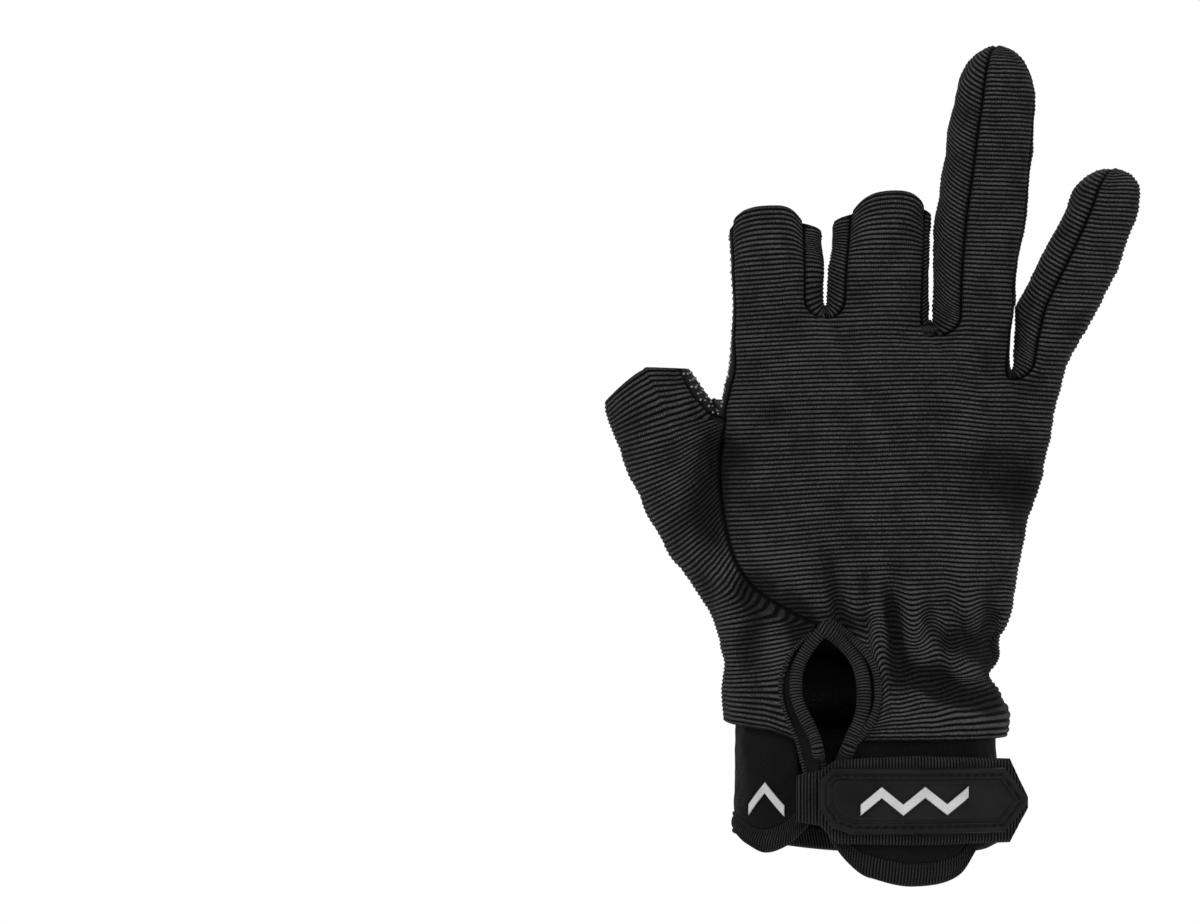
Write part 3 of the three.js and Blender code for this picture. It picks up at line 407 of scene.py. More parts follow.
def keyhole_half(z):
    up = np.clip((z - KEYHOLE_WIDEST) / (KEYHOLE_TOP - KEYHOLE_WIDEST), 0, 1)
    down = np.clip((KEYHOLE_WIDEST - z) / (KEYHOLE_WIDEST - FABRIC_EDGE), 0, 1.5)
    above = (1 - up ** 1.8) ** 0.72
    below = 1 - KEYHOLE_NARROWING * down ** 1.5
    return KEYHOLE_HALF_WIDTH * np.where(z >= KEYHOLE_WIDEST, above, below)


def thumb_seam(z):
    return read(THUMB_SEAM, "x", palm_t(z)) * PALM_WIDTH


def line_below(k, side, hand, z):
    """The seam line under crotch k. Under the thumb's, on the back, it parts round the keyhole."""
    if k == 0 and side < 0:
        return thumb_seam(z) + hand * keyhole_half(z)
    if k == 0:
        return read(THUMB_GROOVE, "x", palm_t(z)) * PALM_WIDTH
    return mix(LINE_FOOT[side][k] * PALM_WIDTH, CROTCH_X[k], (z - FABRIC_EDGE) / (CROTCH_Z[k] - FABRIC_EDGE))


def web_edge(name, k, side, hand, z):
    cx, _, w, _ = digit_section(name, z)
    turn = np.clip((z - CROTCH_Z[k]) / turn_height(k), 0, 1)
    above = mix(CROTCH_X[k], cx + DIGITS[name]["seams"][side, hand] * w, np.sqrt(1 - (1 - turn) ** 2))
    return np.where(z <= CROTCH_Z[k], line_below(k, side, -hand, z), above)


def fan_axis(name, z):
    """The axis that rays fan out from: centre x and y, half width and half depth."""
    cx, cy, w, b = digit_section(name, z)
    body_x, body_y, body_w, body_b = body_section(z)
    base = palm_z(DIGITS[name]["base"])
    share = ease((z - base + 12) / 28) if name == "thumb" else ease((z - base + 30) / 24)
    side = {"thumb": body_x - body_w + EDGE_ROUND, "little": body_x + body_w - EDGE_ROUND}.get(name, cx)
    x = mix(side, cx, share)
    half = mix(EDGE_ROUND, w, share)
    if name == "thumb":
        clear = np.where(z < CROTCH_Z[0], np.minimum(x, line_below(0, -1, -1, z) - SEAM_CLEARANCE), x)
        half = half + clear - x
        x = clear
    if name == "little":
        clear = np.where(z < CROTCH_Z[3], np.maximum(x, line_below(3, -1, 1, z) + SEAM_CLEARANCE), x)
        half = half - clear + x
        x = clear
    return x, mix(body_y, cy, share), half, mix(body_b, b, share)


def fan_rays(name, side, hand, g, z):
    """Starts and directions of the rays for one half of a digit's strip."""
    digit = DIGITS[name]
    k = NAMES.index(name)
    ax, ay, aw, ab = fan_axis(name, z)
    reach = np.abs(g)
    none = np.zeros_like(z)
    if (name, hand) in (("thumb", -1), ("little", 1)):
        palm_angle = math.asin(abs(digit["seams"][1, hand]))
        angle = reach * (math.pi - palm_angle if side < 0 else palm_angle)
        way = np.stack([hand * aw * np.sin(angle), side * ab * np.cos(angle), none], 1)
        return np.stack([ax, ay, z], 1), way
    web = k - 1 if hand < 0 else k
    other_web = k if hand < 0 else k - 1
    edge = web_edge(name, web, side, hand, z)
    middle = ax
    if 0 <= other_web < len(CROTCH_Z):
        other = web_edge(name, other_web, side, -hand, z)
        middle = mix((edge + other) / 2, ax, ease((z - palm_z(digit["base"]) + 30) / 24))
    straight = mix(middle, edge, reach)
    fan = ease((z - CROTCH_Z[web] - turn_height(web)) / FAN_RISE)
    angle = np.arcsin(np.clip((edge - ax) / aw, -1, 1)) * reach
    beside = fan_axis(NAMES[web + 1], z)[1]
    y = np.where(z > CROTCH_Z[web] + 1e-6, ay, mix(ay, beside, reach))
    start = mix(straight, ax, fan)
    target = mix(straight, ax + aw * np.sin(angle), fan)
    rise = ab * np.sqrt(np.maximum(1 - ((target - ax) / aw) ** 2, 0.003))
    return np.stack([start, y, z], 1), np.stack([target - start, side * rise, none], 1)


def strip_points(name, side, g, z):
    """Points on one side of a digit's strip. g runs from -1 at its left edge to 1 at its right."""
    shape = np.broadcast_shapes(np.shape(g), np.shape(z))
    flat_g = np.broadcast_to(g, shape).ravel().astype(float)
    flat_z = np.broadcast_to(z, shape).ravel().astype(float)
    start = np.zeros((len(flat_g), 3))
    way = np.zeros((len(flat_g), 3))
    for hand in (-1, 1):
        half = flat_g < 0 if hand < 0 else flat_g >= 0
        start[half], way[half] = fan_rays(name, side, hand, flat_g[half], flat_z[half])
    return leave(start, way).reshape(*shape, 3)


# The thumb's cut end: how far its flat top stands above the digit's height, and the drop to its outer edge.
THUMB_RIM_TOP = 4.3
THUMB_RIM_DROP = 9


def rim_height(name, side, g):
    digit = DIGITS[name]
    top = digit_tip(name)
    _, _, w, _ = digit_section(name, np.array(float(top)))
    across = np.sin(g * math.pi / 2)
    if name == "thumb":
        across = np.where(g < 0, -np.sin(np.minimum(-g * 2.4, math.pi / 2)), across)
        return top + THUMB_RIM_TOP - THUMB_RIM_DROP * np.clip((0.2 - across) / 1.2, 0, 1) ** 1.4
    drop = digit["drop"] * (0.12 * g * g if side < 0 else 1 - 0.45 * g * g)
    return top + digit["dome"] * (0.5 - np.abs(g) ** 3) - drop + digit["cut_slope"] * across * w


# How far the ribs rise over the thumb, from its outer edge to the seam, at heights up its back.
THUMB_RIBS = table("z rise", [
    (43, 0), (50, 1.5), (62, 4), (75, 8), (90, 12), (105, 12.5), (114, 10), (125, 7.5), (135, 7),
])
# Ribs on the back: at heights up the hand, how far they stand above level on five lines across it.
BACK_RIBS = table("z a b c d e", [
    (38, -1.5, -0.2, 0.8, 2.6, 4.2),
    (50, -2.4, -0.6, 0.6, 2.6, 4.4),
    (60, -2.2, 0.2, 0.6, 1.2, 2.0),
    (72, -1.4, 0.6, 0.4, 0.0, 0.4),
    (90, -1.8, 0.6, 0.8, 0.2, -0.2),
    (110, -1.0, 0.2, 0.8, 0.0, -0.6),
    (125, -0.6, 0.2, 0.9, -0.6, -1.2),
    (149, -0.9, 0.3, 0.6, -0.2, -0.8),
    (170, -0.9, 0.3, 0.3, 0.0, -1.0),
])
CAP_FADE = 16
RIM_REACH = 18


def back_tilt(u, s):
    """How far the ribs on the back stand above level. u counts the strips across, from 0 to 4."""
    lines = [read(BACK_RIBS, column, s) for column in "abcde"]
    rise = np.zeros(np.broadcast_shapes(np.shape(u), np.shape(s)))
    for i in range(4):
        part = ease(u - i)
        rise = np.where((u >= i) & (u <= i + 1), mix(lines[i], lines[i + 1], part), rise)
    for k in (1, 2, 3):
        rise = rise * (1 - bell((u - k) / 0.3) * bell((s - CROTCH_Z[k]) / 7))
    body_x, _, body_w, _ = body_section(s)
    seams = [*(line_below(k, -1, 1, s) for k in range(4)), body_x + body_w]
    x = np.zeros_like(rise)
    for i in range(4):
        x = np.where((u >= i) & (u <= i + 1), mix(seams[i], seams[i + 1], u - i), x)
    sway = np.sin(x / 2.1 + 0.8 * np.sin(s / 7)) + 0.45 * np.sin(x / 1.15 + s / 5)
    return rise + 1.2 * sway * bell((s - 66) / 10) * ease(u / 0.6) * ease((4.2 - u) / 0.6)


def thumb_across(g, s):
    """How far across the thumb's back a column is at height s, from 0 at its outline to 1 at the seam."""
    ax, _, aw, _ = fan_axis("thumb", s)
    edge = web_edge("thumb", 0, -1, 1, s)
    angle = np.clip(-g, 0, 1) * (math.pi - math.asin(-DIGITS["thumb"]["seams"][-1, -1]))
    x = np.where(g < 0, ax - aw * np.sin(np.minimum(angle, math.pi / 2)), mix(ax, edge, g))
    return np.clip((x - ax + aw) / (edge - ax + aw), 0, 1)


def cap_arc(name):
    """A closed finger's cap: where it starts, its height, and the length of the way over it."""
    start = cap_start(name)
    height = digit_tip(name) - start
    _, _, w, _ = digit_section(name, np.array(float(start)))
    return start, height, math.pi / 2 * math.sqrt((height ** 2 + w ** 2) / 2)


def over_cap(name, s):
    """Heights of rib lines that run up a closed finger and over its cap."""
    start, height, arc = cap_arc(name)
    angle = np.clip((s - start) / arc, 0, 1) * math.pi / 2
    return np.where(s > start, start + height * np.sin(angle), s)


def below_rim(name, side, g, s, height):
    """Rib lines at a height that turn parallel to the rim near it."""
    top = digit_tip(name)
    return mix(height, rim_height(name, side, g) - (top - s), ease((s - (top - RIM_REACH)) / RIM_REACH))


def rib_height(name, side, g, s):
    """The height of the rib line s at the column g of a strip."""
    if side > 0:
        rise = 0
    elif name == "thumb":
        rise = read(THUMB_RIBS, "rise", s) * (thumb_across(g, s) ** 1.5 - 0.4)
        above = ease((s - TAB_EDGE) / 12)
        rise = rise * above - (TAB_EDGE - FABRIC_EDGE) * (g + 1) / 2 * (1 - above)
    else:
        rise = back_tilt(NAMES.index(name) - 1 + (g + 1) / 2, s)
        rise = rise * ease((s - FABRIC_EDGE) / 9)
    if DIGITS[name]["open"]:
        return below_rim(name, side, g, s, s + rise)
    start, _, arc = cap_arc(name)
    fade = 1 - ease((s - start + CAP_FADE) / (CAP_FADE + arc * 0.7))
    return over_cap(name, s) + rise * fade


def rib_top(name):
    """Where the count of ribs up a strip ends."""
    if DIGITS[name]["open"]:
        return digit_tip(name)
    start, _, arc = cap_arc(name)
    return start + arc


def rows_between(anchors, pitch, per):
    """Heights with per rows in each pitch, and whole pitches between the anchors."""
    levels = [np.array([anchors[0]])]
    for a, b in zip(anchors, anchors[1:]):
        count = max(1, round((b - a) / pitch)) * per
        levels.append(a + (b - a) * np.arange(1, count + 1) / count)
    return np.concatenate(levels)


def lengths_along(grid):
    """How far each point of a row lies from the row's first point."""
    steps = np.linalg.norm(np.diff(grid, axis=1), axis=2)
    return np.concatenate([np.zeros((len(grid), 1)), np.cumsum(steps, axis=1)], axis=1)


def strip_grid(name, side, levels, offset, columns=STRIP_COLUMNS):
    """One strip's points, with the place along the row and up the rows. offset is where its rows start."""
    g = np.linspace(-1, 1, columns + 1)[None, :]
    s = levels[:, None]
    grid = strip_points(name, side, g, rib_height(name, side, g, s))
    along = lengths_along(grid)
    start = np.zeros(len(levels))
    count = min(len(offset), len(levels))
    start[:count] = offset[:count]
    if count:
        start[count:] = offset[count - 1]
    return grid, along + start[:, None]


def weld(points):
    """Numbers equal points alike: the kept ones, and each point's number."""
    keys = np.round(points * 500).astype(np.int64)
    _, first, number = np.unique(keys, axis=0, return_index=True, return_inverse=True)
    return first, number.ravel()


def grid_faces(rows, columns, flip=False):
    at = np.arange(rows * columns).reshape(rows, columns)
    a, b, c, d = at[:-1, :-1].ravel(), at[:-1, 1:].ravel(), at[1:, 1:].ravel(), at[1:, :-1].ravel()
    faces = np.concatenate([np.stack([a, b, c], 1), np.stack([a, c, d], 1)])
    return faces[:, ::-1] if flip else faces


def nearest(points, places):
    """For each place, the number of the nearest point and how far away it is."""
    tree = kdtree.KDTree(len(points))
    for i, point in enumerate(points):
        tree.insert(point, i)
    tree.balance()
    found = [tree.find(place) for place in places]
    return np.array([each[1] for each in found]), np.array([each[2] for each in found])


class Cloth:
    """Grids of points that are sewn into one sheet, and then given a thickness."""

    def __init__(self):
        self.points = []
        self.marks = []
        self.faces = []
        self.count = 0

    def add(self, grid, along, rib, flip=False):
        rows, columns = grid.shape[:2]
        rib = np.broadcast_to(rib, (rows, columns))
        self.points.append(grid.reshape(-1, 3))
        self.marks.append(np.stack([along.ravel(), rib.ravel()], 1))
        self.faces.append(grid_faces(rows, columns, flip) + self.count)
        self.count += rows * columns

    def close(self):
        points = np.concatenate(self.points)
        first, number = weld(points)
        self.base = points[first]
        self.mark = np.concatenate(self.marks)[first]
        faces = number[np.concatenate(self.faces)]
        distinct = (faces[:, 0] != faces[:, 1]) & (faces[:, 1] != faces[:, 2]) & (faces[:, 2] != faces[:, 0])
        self.tris = faces[distinct]
        self.find_border()
        self.find_normals()

    def find_border(self):
        edges = np.concatenate([self.tris[:, pair] for pair in ([0, 1], [1, 2], [2, 0])])
        kept, counts = np.unique(np.sort(edges, axis=1), axis=0, return_counts=True)
        self.border = np.unique(kept[counts == 1])
        _, self.edge = nearest(self.base[self.border], self.base)

    def find_normals(self):
        a, b, c = (self.base[self.tris[:, i]] for i in range(3))
        face_normals = np.cross(b - a, c - a)
        sums = np.zeros_like(self.base)
        for corner in range(3):
            for axis in range(3):
                sums[:, axis] += np.bincount(self.tris[:, corner], face_normals[:, axis], len(self.base))
        length = np.linalg.norm(sums, axis=1)
        self.normal = sums / np.maximum(length, 1e-12)[:, None]

    def solid(self, half, edge_round, lift, lift_inside=0, middle=None):
        """Points and faces of the closed sheet: half thick on each side of its middle, round at its edges."""
        middle = -half if middle is None else middle
        near = 1 - np.minimum(self.edge / edge_round, 1)
        swell = np.sqrt(1 - near * near)
        outer = self.base + self.normal * (middle + half * swell + lift)[:, None]
        inner = self.base + self.normal * (middle - half * swell - lift_inside)[:, None]
        count = len(self.base)
        number = np.arange(count) + count
        number[self.border] = self.border
        points = np.concatenate([outer, inner])
        faces = np.concatenate([self.tris, number[self.tris][:, ::-1]])
        return points, faces


def make_piece(name, points, faces, marks, material, slot, replaces=()):
    """A named piece from points in millimetres and triangles, riding on the one body."""
    used, number = np.unique(faces, return_inverse=True)
    points = points[used]
    faces = number.reshape(faces.shape)
    mesh = bpy.data.meshes.new(name)
    mesh.vertices.add(len(points))
    mesh.vertices.foreach_set("co", (points * MM).astype(np.float32).ravel())
    mesh.loops.add(faces.size)
    mesh.loops.foreach_set("vertex_index", faces.astype(np.int32).ravel())
    mesh.polygons.add(len(faces))
    mesh.polygons.foreach_set("loop_start", np.arange(0, faces.size, 3, dtype=np.int32))
    if marks is not None:
        layer = mesh.attributes.new("knit", "FLOAT_VECTOR", "POINT")
        layer.data.foreach_set("vector", marks[used, :3].astype(np.float32).ravel())
        if marks.shape[1] > 3:
            layer = mesh.attributes.new("stand", "FLOAT", "POINT")
            layer.data.foreach_set("value", marks[used, 3].astype(np.float32).copy())
    mesh.update(calc_edges=True)
    mesh.shade_smooth()
    piece = bpy.data.objects.new(name, mesh)
    bpy.context.scene.collection.objects.link(piece)
    mesh.materials.append(material)
    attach(piece, "root")
    if replaces:
        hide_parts(*replaces)
    return piece


def sewn(grid, row=None, flip=False):
    """One grid as a sheet. The shaders read its rows by height, or by what row gives."""
    cloth = Cloth()
    cloth.add(grid, lengths_along(grid), grid[:, :, 2] if row is None else row, flip)
    cloth.close()
    return cloth


def sheet_piece(name, cloth, sheet, material, slot, replaces=(), stand=None):
    """A piece from a sheet's points and faces, with the same marks on its two skins."""
    columns = [cloth.mark, cloth.edge] if stand is None else [cloth.mark, cloth.edge, stand]
    marks = np.column_stack(columns)
    return make_piece(name, *sheet, np.concatenate([marks, marks]), material, slot, replaces)


def ripple(points, length, seed, count=16):
    """Soft waves of about that length, in every direction, about 1 high."""
    draw = np.random.default_rng(seed)
    ways = draw.normal(size=(count, 3))
    ways /= np.linalg.norm(ways, axis=1)[:, None]
    numbers = 2 * math.pi / (length * draw.uniform(0.7, 1.5, count))
    phases = draw.uniform(0, 2 * math.pi, count)
    total = np.zeros(len(points))
    for way, wave_number, phase in zip(ways, numbers, phases):
        total += np.sin(points @ way * wave_number + phase)
    return total / math.sqrt(count / 2)


# Finer folds, which the model leaves to the looks: side, both ends, height and width, all in millimetres.
FINE_FOLDS = [
    (-1, -13, 68, -22, 90, 1.0, 2.6),
    (-1, -8.5, 70, -12, 88, -1.0, 2.2),
    (-1, -4.5, 64, -6, 86, 0.9, 2.4),
    (-1, -0.8, 62, -2, 82, -1.1, 2.0),
    (-1, 2.8, 58, 1, 84, 1.0, 2.4),
    (-1, 7.4, 60, 3.7, 78, -1.9, 2.0),
    (-1, 10.5, 60, 9, 80, 1.0, 2.4),
    (-1, 15, 64, 13.5, 78, -1.1, 2.2),
    (-1, 20, 60, 18, 76, 0.9, 2.8),
    (-1, 25.5, 60, 24, 72, -0.9, 2.2),
    (-1, 11.4, 64, 34, 49, 1.5, 3.0),
    (-1, 9.5, 55.5, 31, 45.5, -1.2, 2.4),
    (-1, 8, 49, 34, 41.5, 0.6, 2.2),
    (-1, 26, 64.5, 36, 63.5, -0.9, 1.8),
    (-1, 30, 96, 22, 78, 0.6, 5),
    (-1, 23, 130, 32, 104, 0.6, 4.5),
    (-1, -20, 78, -32, 94, 0.6, 3),
    (1, -2, 143, -31, 122, -1.4, 2.2),
    (1, -6, 137, -36, 111, 0.9, 3.2),
    (1, 36, 45, -28, 50, 1.3, 4),
    (1, 30, 54, -26, 58, -1.0, 3),
    (1, 34, 62, 10, 66, 0.7, 3),
    (1, 38, 108, 26, 96, -0.8, 3),
    (1, 16, 146, 6, 134, -0.7, 2.5),
    (1, 34, 138, 24, 130, -0.7, 2.5),
]


def fine_folds(p):
    out = np.zeros(len(p))
    for side, x1, z1, x2, z2, height, width in FINE_FOLDS:
        share, away = near_line(p[:, 0], p[:, 2], x1, z1, x2, z2)
        taper = 0.35 + 0.65 * np.sin(np.clip(share, 0.02, 0.98) * math.pi)
        out += height * bell(away / width) * taper * (p[:, 1] * side > 0)
    return out


def rib_profile(rib):
    """A flat-topped rib with a narrow valley, from -1 to 1."""
    return 1 - 2 * (0.5 + 0.5 * np.cos(2 * math.pi * rib)) ** 1.6


class Nodes:
    """A material under construction, with short calls for its nodes."""

    def __init__(self, name, **constants):
        self.material = bpy.data.materials.new(name)
        self.material.use_nodes = True
        self.tree = self.material.node_tree
        self.shader = self.tree.nodes["Principled BSDF"]
        for socket, value in constants.items():
            self.shader.inputs[socket.replace("_", " ")].default_value = value
        self.place = self.node("ShaderNodeTexCoord").outputs["Object"]

    def node(self, kind, **settings):
        made = self.tree.nodes.new(kind)
        for setting, value in settings.items():
            setattr(made, setting, value)
        return made

    def feed(self, socket, value):
        if isinstance(value, bpy.types.NodeSocket):
            self.tree.links.new(value, socket)
        else:
            socket.default_value = value

    def math(self, operation, *values, clamp=False):
        made = self.node("ShaderNodeMath", operation=operation, use_clamp=clamp)
        for socket, value in zip(made.inputs, values):
            self.feed(socket, value)
        return made.outputs[0]

    def knit(self):
        """The piece's own coordinates: place along a row, count of ribs, distance from the nearest edge."""
        made = self.node("ShaderNodeAttribute", attribute_name="knit")
        parts = self.node("ShaderNodeSeparateXYZ")
        self.feed(parts.inputs[0], made.outputs["Vector"])
        return parts.outputs

    def painted_fold_shading(self, low, high):
        """Painted shade in the cloth's fold valleys, below 1, and painted light on its fold crests, above 1.
        """
        made = self.node("ShaderNodeAttribute", attribute_name="stand")
        return self.ramp(made.outputs["Fac"], -1.4, 1.2, low, high)

    def noise(self, scale, detail=2.0, low=0.3, high=0.7):
        """Soft noise from 0 to 1. scale counts blobs in a metre."""
        made = self.node("ShaderNodeTexNoise")
        self.feed(made.inputs["Vector"], self.place)
        made.inputs["Scale"].default_value = scale
        made.inputs["Detail"].default_value = detail
        return self.ramp(made.outputs["Fac"], low, high)

    def ramp(self, value, low, high, to_low=0.0, to_high=1.0):
        made = self.node("ShaderNodeMapRange", interpolation_type="SMOOTHSTEP")
        self.feed(made.inputs["Value"], value)
        for socket, number in zip(("From Min", "From Max", "To Min", "To Max"), (low, high, to_low, to_high)):
            made.inputs[socket].default_value = number
        return made.outputs["Result"]

    def wave(self, value, pitch, offset=0.0):
        """A cosine wave from 0 to 1 along a value."""
        turns = self.math("MULTIPLY", value, 2 * math.pi / pitch)
        cosine = self.math("COSINE", self.math("ADD", turns, offset))
        return self.math("MULTIPLY_ADD", cosine, 0.5, 0.5)

    def blend(self, share, first, second):
        made = self.node("ShaderNodeMix", data_type="RGBA")
        self.feed(made.inputs[0], share)
        for socket, colour in ((made.inputs[6], first), (made.inputs[7], second)):
            self.feed(socket, colour if isinstance(colour, bpy.types.NodeSocket) else (*colour, 1.0))
        return made.outputs[2]

    def layers(self, base, *parts):
        """A base level plus each part times its share."""
        for part, share in parts:
            base = self.math("MULTIPLY_ADD", part, share, base)
        return base

    def product(self, first, *others):
        """Values multiplied in turn, and held between 0 and 1 at the end."""
        for value in others[:-1]:
            first = self.math("MULTIPLY", first, value)
        return self.math("MULTIPLY", first, others[-1], clamp=True)

    def bump(self, height, distance, under=None):
        """height runs from 0 to 1 over that many metres."""
        made = self.node("ShaderNodeBump")
        made.inputs["Distance"].default_value = distance
        self.feed(made.inputs["Height"], height)
        if under:
            self.feed(made.inputs["Normal"], under)
        return made.outputs[0]

    def finish(self, colour, roughness, normal):
        self.feed(self.shader.inputs["Base Color"], colour)
        self.feed(self.shader.inputs["Roughness"], roughness)
        self.feed(self.shader.inputs["Normal"], normal)
        return self.material


def grey(level):
    return (level, level, level)


MATT_KNIT = {"Sheen_Weight": 0.01, "Sheen_Roughness": 0.5, "Specular_IOR_Level": 0.02}


def ribbed_knit():
    """Flat ribs of fine loops, with painted shade in the valleys between them and near the seams, painted
    shade in fold valleys and painted light on fold crests.
    """
    m = Nodes("ribbed_knit", **MATT_KNIT)
    along, rib, edge = m.knit()
    # Painted shade: the valleys between the ribs are darkened in colour.
    ridge = m.ramp(m.math("SUBTRACT", 1.0, m.wave(rib, 1.0)), 0.16, 0.8)
    loops = m.wave(along, 0.62)
    fuzz = m.noise(2300, 3.0, 0.4, 0.64)
    bright = m.layers(0.12, (loops, 0.3), (fuzz, 0.6), (m.noise(260, 2.0), 0.16), (m.noise(34, 1.0), 0.12))
    # Painted shade near the seams and in fold valleys, painted light on fold crests.
    bright = m.product(bright, ridge, m.painted_fold_shading(0.25, 1.55), m.ramp(edge, 0.1, 1.1))
    colour = m.blend(bright, grey(0.0012), grey(0.044))
    normal = m.bump(m.layers(fuzz, (loops, 0.5)), 0.00008, m.bump(ridge, 0.0002))
    return m.finish(colour, m.layers(0.72, (fuzz, 0.15)), normal)


def dotted_knit():
    """A fine plain knit under the grip dots."""
    m = Nodes("dotted_knit", **MATT_KNIT)
    along, row, edge = m.knit()
    loops = m.math("MULTIPLY", m.wave(along, 0.8), m.wave(row, 0.7))
    fuzz = m.noise(2300, 3.0, 0.35, 0.68)
    bright = m.layers(0.22, (loops, 0.4), (fuzz, 0.3), (m.noise(40, 1.0), 0.15))
    # Painted shade near the seams and in fold valleys, painted light on fold crests.
    bright = m.product(bright, m.painted_fold_shading(0.25, 1.55), m.ramp(edge, 0.1, 1.2))
    colour = m.blend(bright, grey(0.0012), grey(0.02))
    return m.finish(colour, m.layers(0.75, (fuzz, 0.15)), m.bump(m.layers(fuzz, (loops, 0.6)), 0.00012))


def grip_dot():
    """Smooth grey silicone, a little dusty. Its grey is partly painted highlight, standing in for the dots'
    glints.
    """
    m = Nodes("grip_dot", Specular_IOR_Level=0.3)
    dust = m.noise(700, 2.0)
    # Partly painted highlight: the pale grey stands in for glints on the domes.
    colour = m.blend(dust, grey(0.06), grey(0.16))
    return m.finish(colour, m.layers(0.32, (dust, 0.2)), m.bump(m.noise(3000, 2.0), 0.00003))


def smooth_knit():
    """A fine stretch jersey with wales that run up the cuff."""
    m = Nodes("smooth_knit", Sheen_Weight=0.005, Sheen_Roughness=0.4, Specular_IOR_Level=0.025)
    along, _, edge = m.knit()
    wales = m.wave(along, 0.7)
    fuzz = m.noise(2600, 3.0, 0.35, 0.68)
    bright = m.layers(0.15, (wales, 0.3), (fuzz, 0.3), (m.noise(50, 2.0), 0.25))
    # Painted shade: darker near its edges and seams.
    bright = m.product(bright, m.ramp(edge, 0.0, 0.9, 0.4, 1.0))
    colour = m.blend(bright, grey(0.0006), grey(0.0062))
    return m.finish(colour, m.layers(0.7, (fuzz, 0.12)), m.bump(m.layers(fuzz, (wales, 0.6)), 0.00008))


def cross_ribbed(name, pitch, dark, pale):
    """A band with fine ribs across it, for bindings, hems and the strap's webbing."""
    m = Nodes(name, **MATT_KNIT)
    along, row, _ = m.knit()
    ridge = m.ramp(m.wave(along, pitch, math.pi), 0.15, 0.75)
    threads = m.wave(row, 0.55)
    fuzz = m.noise(2400, 3.0, 0.35, 0.68)
    bright = m.layers(0.3, (threads, 0.25), (fuzz, 0.4), (m.noise(120, 2.0), 0.25))
    # Painted shade: the valleys between the ribs are darkened in colour.
    colour = m.blend(m.product(bright, ridge), grey(dark), grey(pale))
    normal = m.bump(m.layers(fuzz, (threads, 0.5)), 0.00006, m.bump(ridge, 0.00012))
    return m.finish(colour, m.layers(0.72, (fuzz, 0.12)), normal)


def moulded_rubber():
    """Satin moulded rubber with a fine grain, paler towards its edges, and painted shade in its stitched
    groove, less on the raised stitches.
    """
    m = Nodes("moulded_rubber", Specular_IOR_Level=0.06)
    along, _, edge = m.knit()
    grain = m.noise(4200, 3.0)
    broad = m.noise(90, 3.0)
    paler_edge = m.ramp(edge, 0.0, 0.5, 1.0, 0.0)
    bright = m.math("MULTIPLY_ADD", paler_edge, 0.25, m.layers(0.25, (broad, 0.4), (grain, 0.12)), clamp=True)
    # Painted shade in the recessed groove, lighter on the raised stitch dashes.
    groove = m.math("MULTIPLY", m.ramp(edge, 1.4, 1.7), m.ramp(edge, 2.2, 2.5, 1.0, 0.0))
    dark = m.math("MULTIPLY", groove, m.ramp(m.wave(along, PATCH_STITCH), 0.25, 0.6, 1.0, 0.55))
    bright = m.math("MULTIPLY", bright, m.math("SUBTRACT", 1.0, dark))
    colour = m.blend(bright, grey(0.0006), grey(0.008))
    return m.finish(colour, m.layers(0.42, (broad, 0.12)), m.bump(grain, 0.00002))


def raised_print():
    """Pale grey moulded print, darker towards its edges."""
    m = Nodes("raised_print", Specular_IOR_Level=0.45)
    _, _, edge = m.knit()
    speckle = m.noise(2200, 3.0)
    bright = m.layers(0.55, (speckle, 0.2), (m.noise(220, 2.0), 0.25))
    bright = m.product(bright, m.ramp(edge, 0.0, 0.35, 0.6, 1.0))
    colour = m.blend(bright, grey(0.12), grey(0.33))
    return m.finish(colour, m.layers(0.42, (speckle, 0.2)), m.bump(speckle, 0.00003))


KNIT = ribbed_knit()
DOTTED = dotted_knit()
DOT = grip_dot()
SMOOTH = smooth_knit()
HEM_KNIT = cross_ribbed("hem_knit", BAND_RIB, 0.0012, 0.016)
BINDING_KNIT = cross_ribbed("binding_knit", 0.8, 0.0012, 0.026)
WEBBING = cross_ribbed("webbing", BAND_RIB, 0.0012, 0.022)
RUBBER = moulded_rubber()
PRINT = raised_print()


def panel_lift(points, edge):
    """How far wrinkles and folds move a panel's skin out at points that far from its edges."""
    wrinkles = 0.16 * ripple(points, 9, 5) + 0.07 * ripple(points, 3.5, 8)
    return (wrinkles + fine_folds(points)) * np.clip(edge / 3, 0.15, 1)


def finish_panel(name, cloth, ribbed):
    """Thickens a sewn sheet of knit and raises its ribs. Its edges dip into the seams."""
    lift = panel_lift(cloth.base, cloth.edge)
    inside = -lift
    # How far the cloth stands out at its folds. The knit shaders paint shade in its valleys and light on its
    # crests from this.
    stand = lift + fold_field(*cloth.base.T)
    if ribbed:
        ribs = RIB_HEIGHT * rib_profile(cloth.mark[:, 1]) * np.clip(cloth.edge / 0.8, 0.2, 1)
        stitches = PUCKER_HEIGHT * np.cos(2 * math.pi * cloth.mark[:, 0] / PUCKER_PITCH)
        pucker = stitches * bell((cloth.edge - PUCKER_REACH) / PUCKER_REACH)
        lift = lift + ribs + pucker
        inside = inside + 0.5 * ribs
    sheet = cloth.solid(FABRIC_WALL / 2, PANEL_ROUND, lift, inside)
    material, slot = (KNIT, "ribbed_knit") if ribbed else (DOTTED, "dotted_knit")
    return sheet_piece(name + "_knit", cloth, sheet, material, slot, [name], stand)


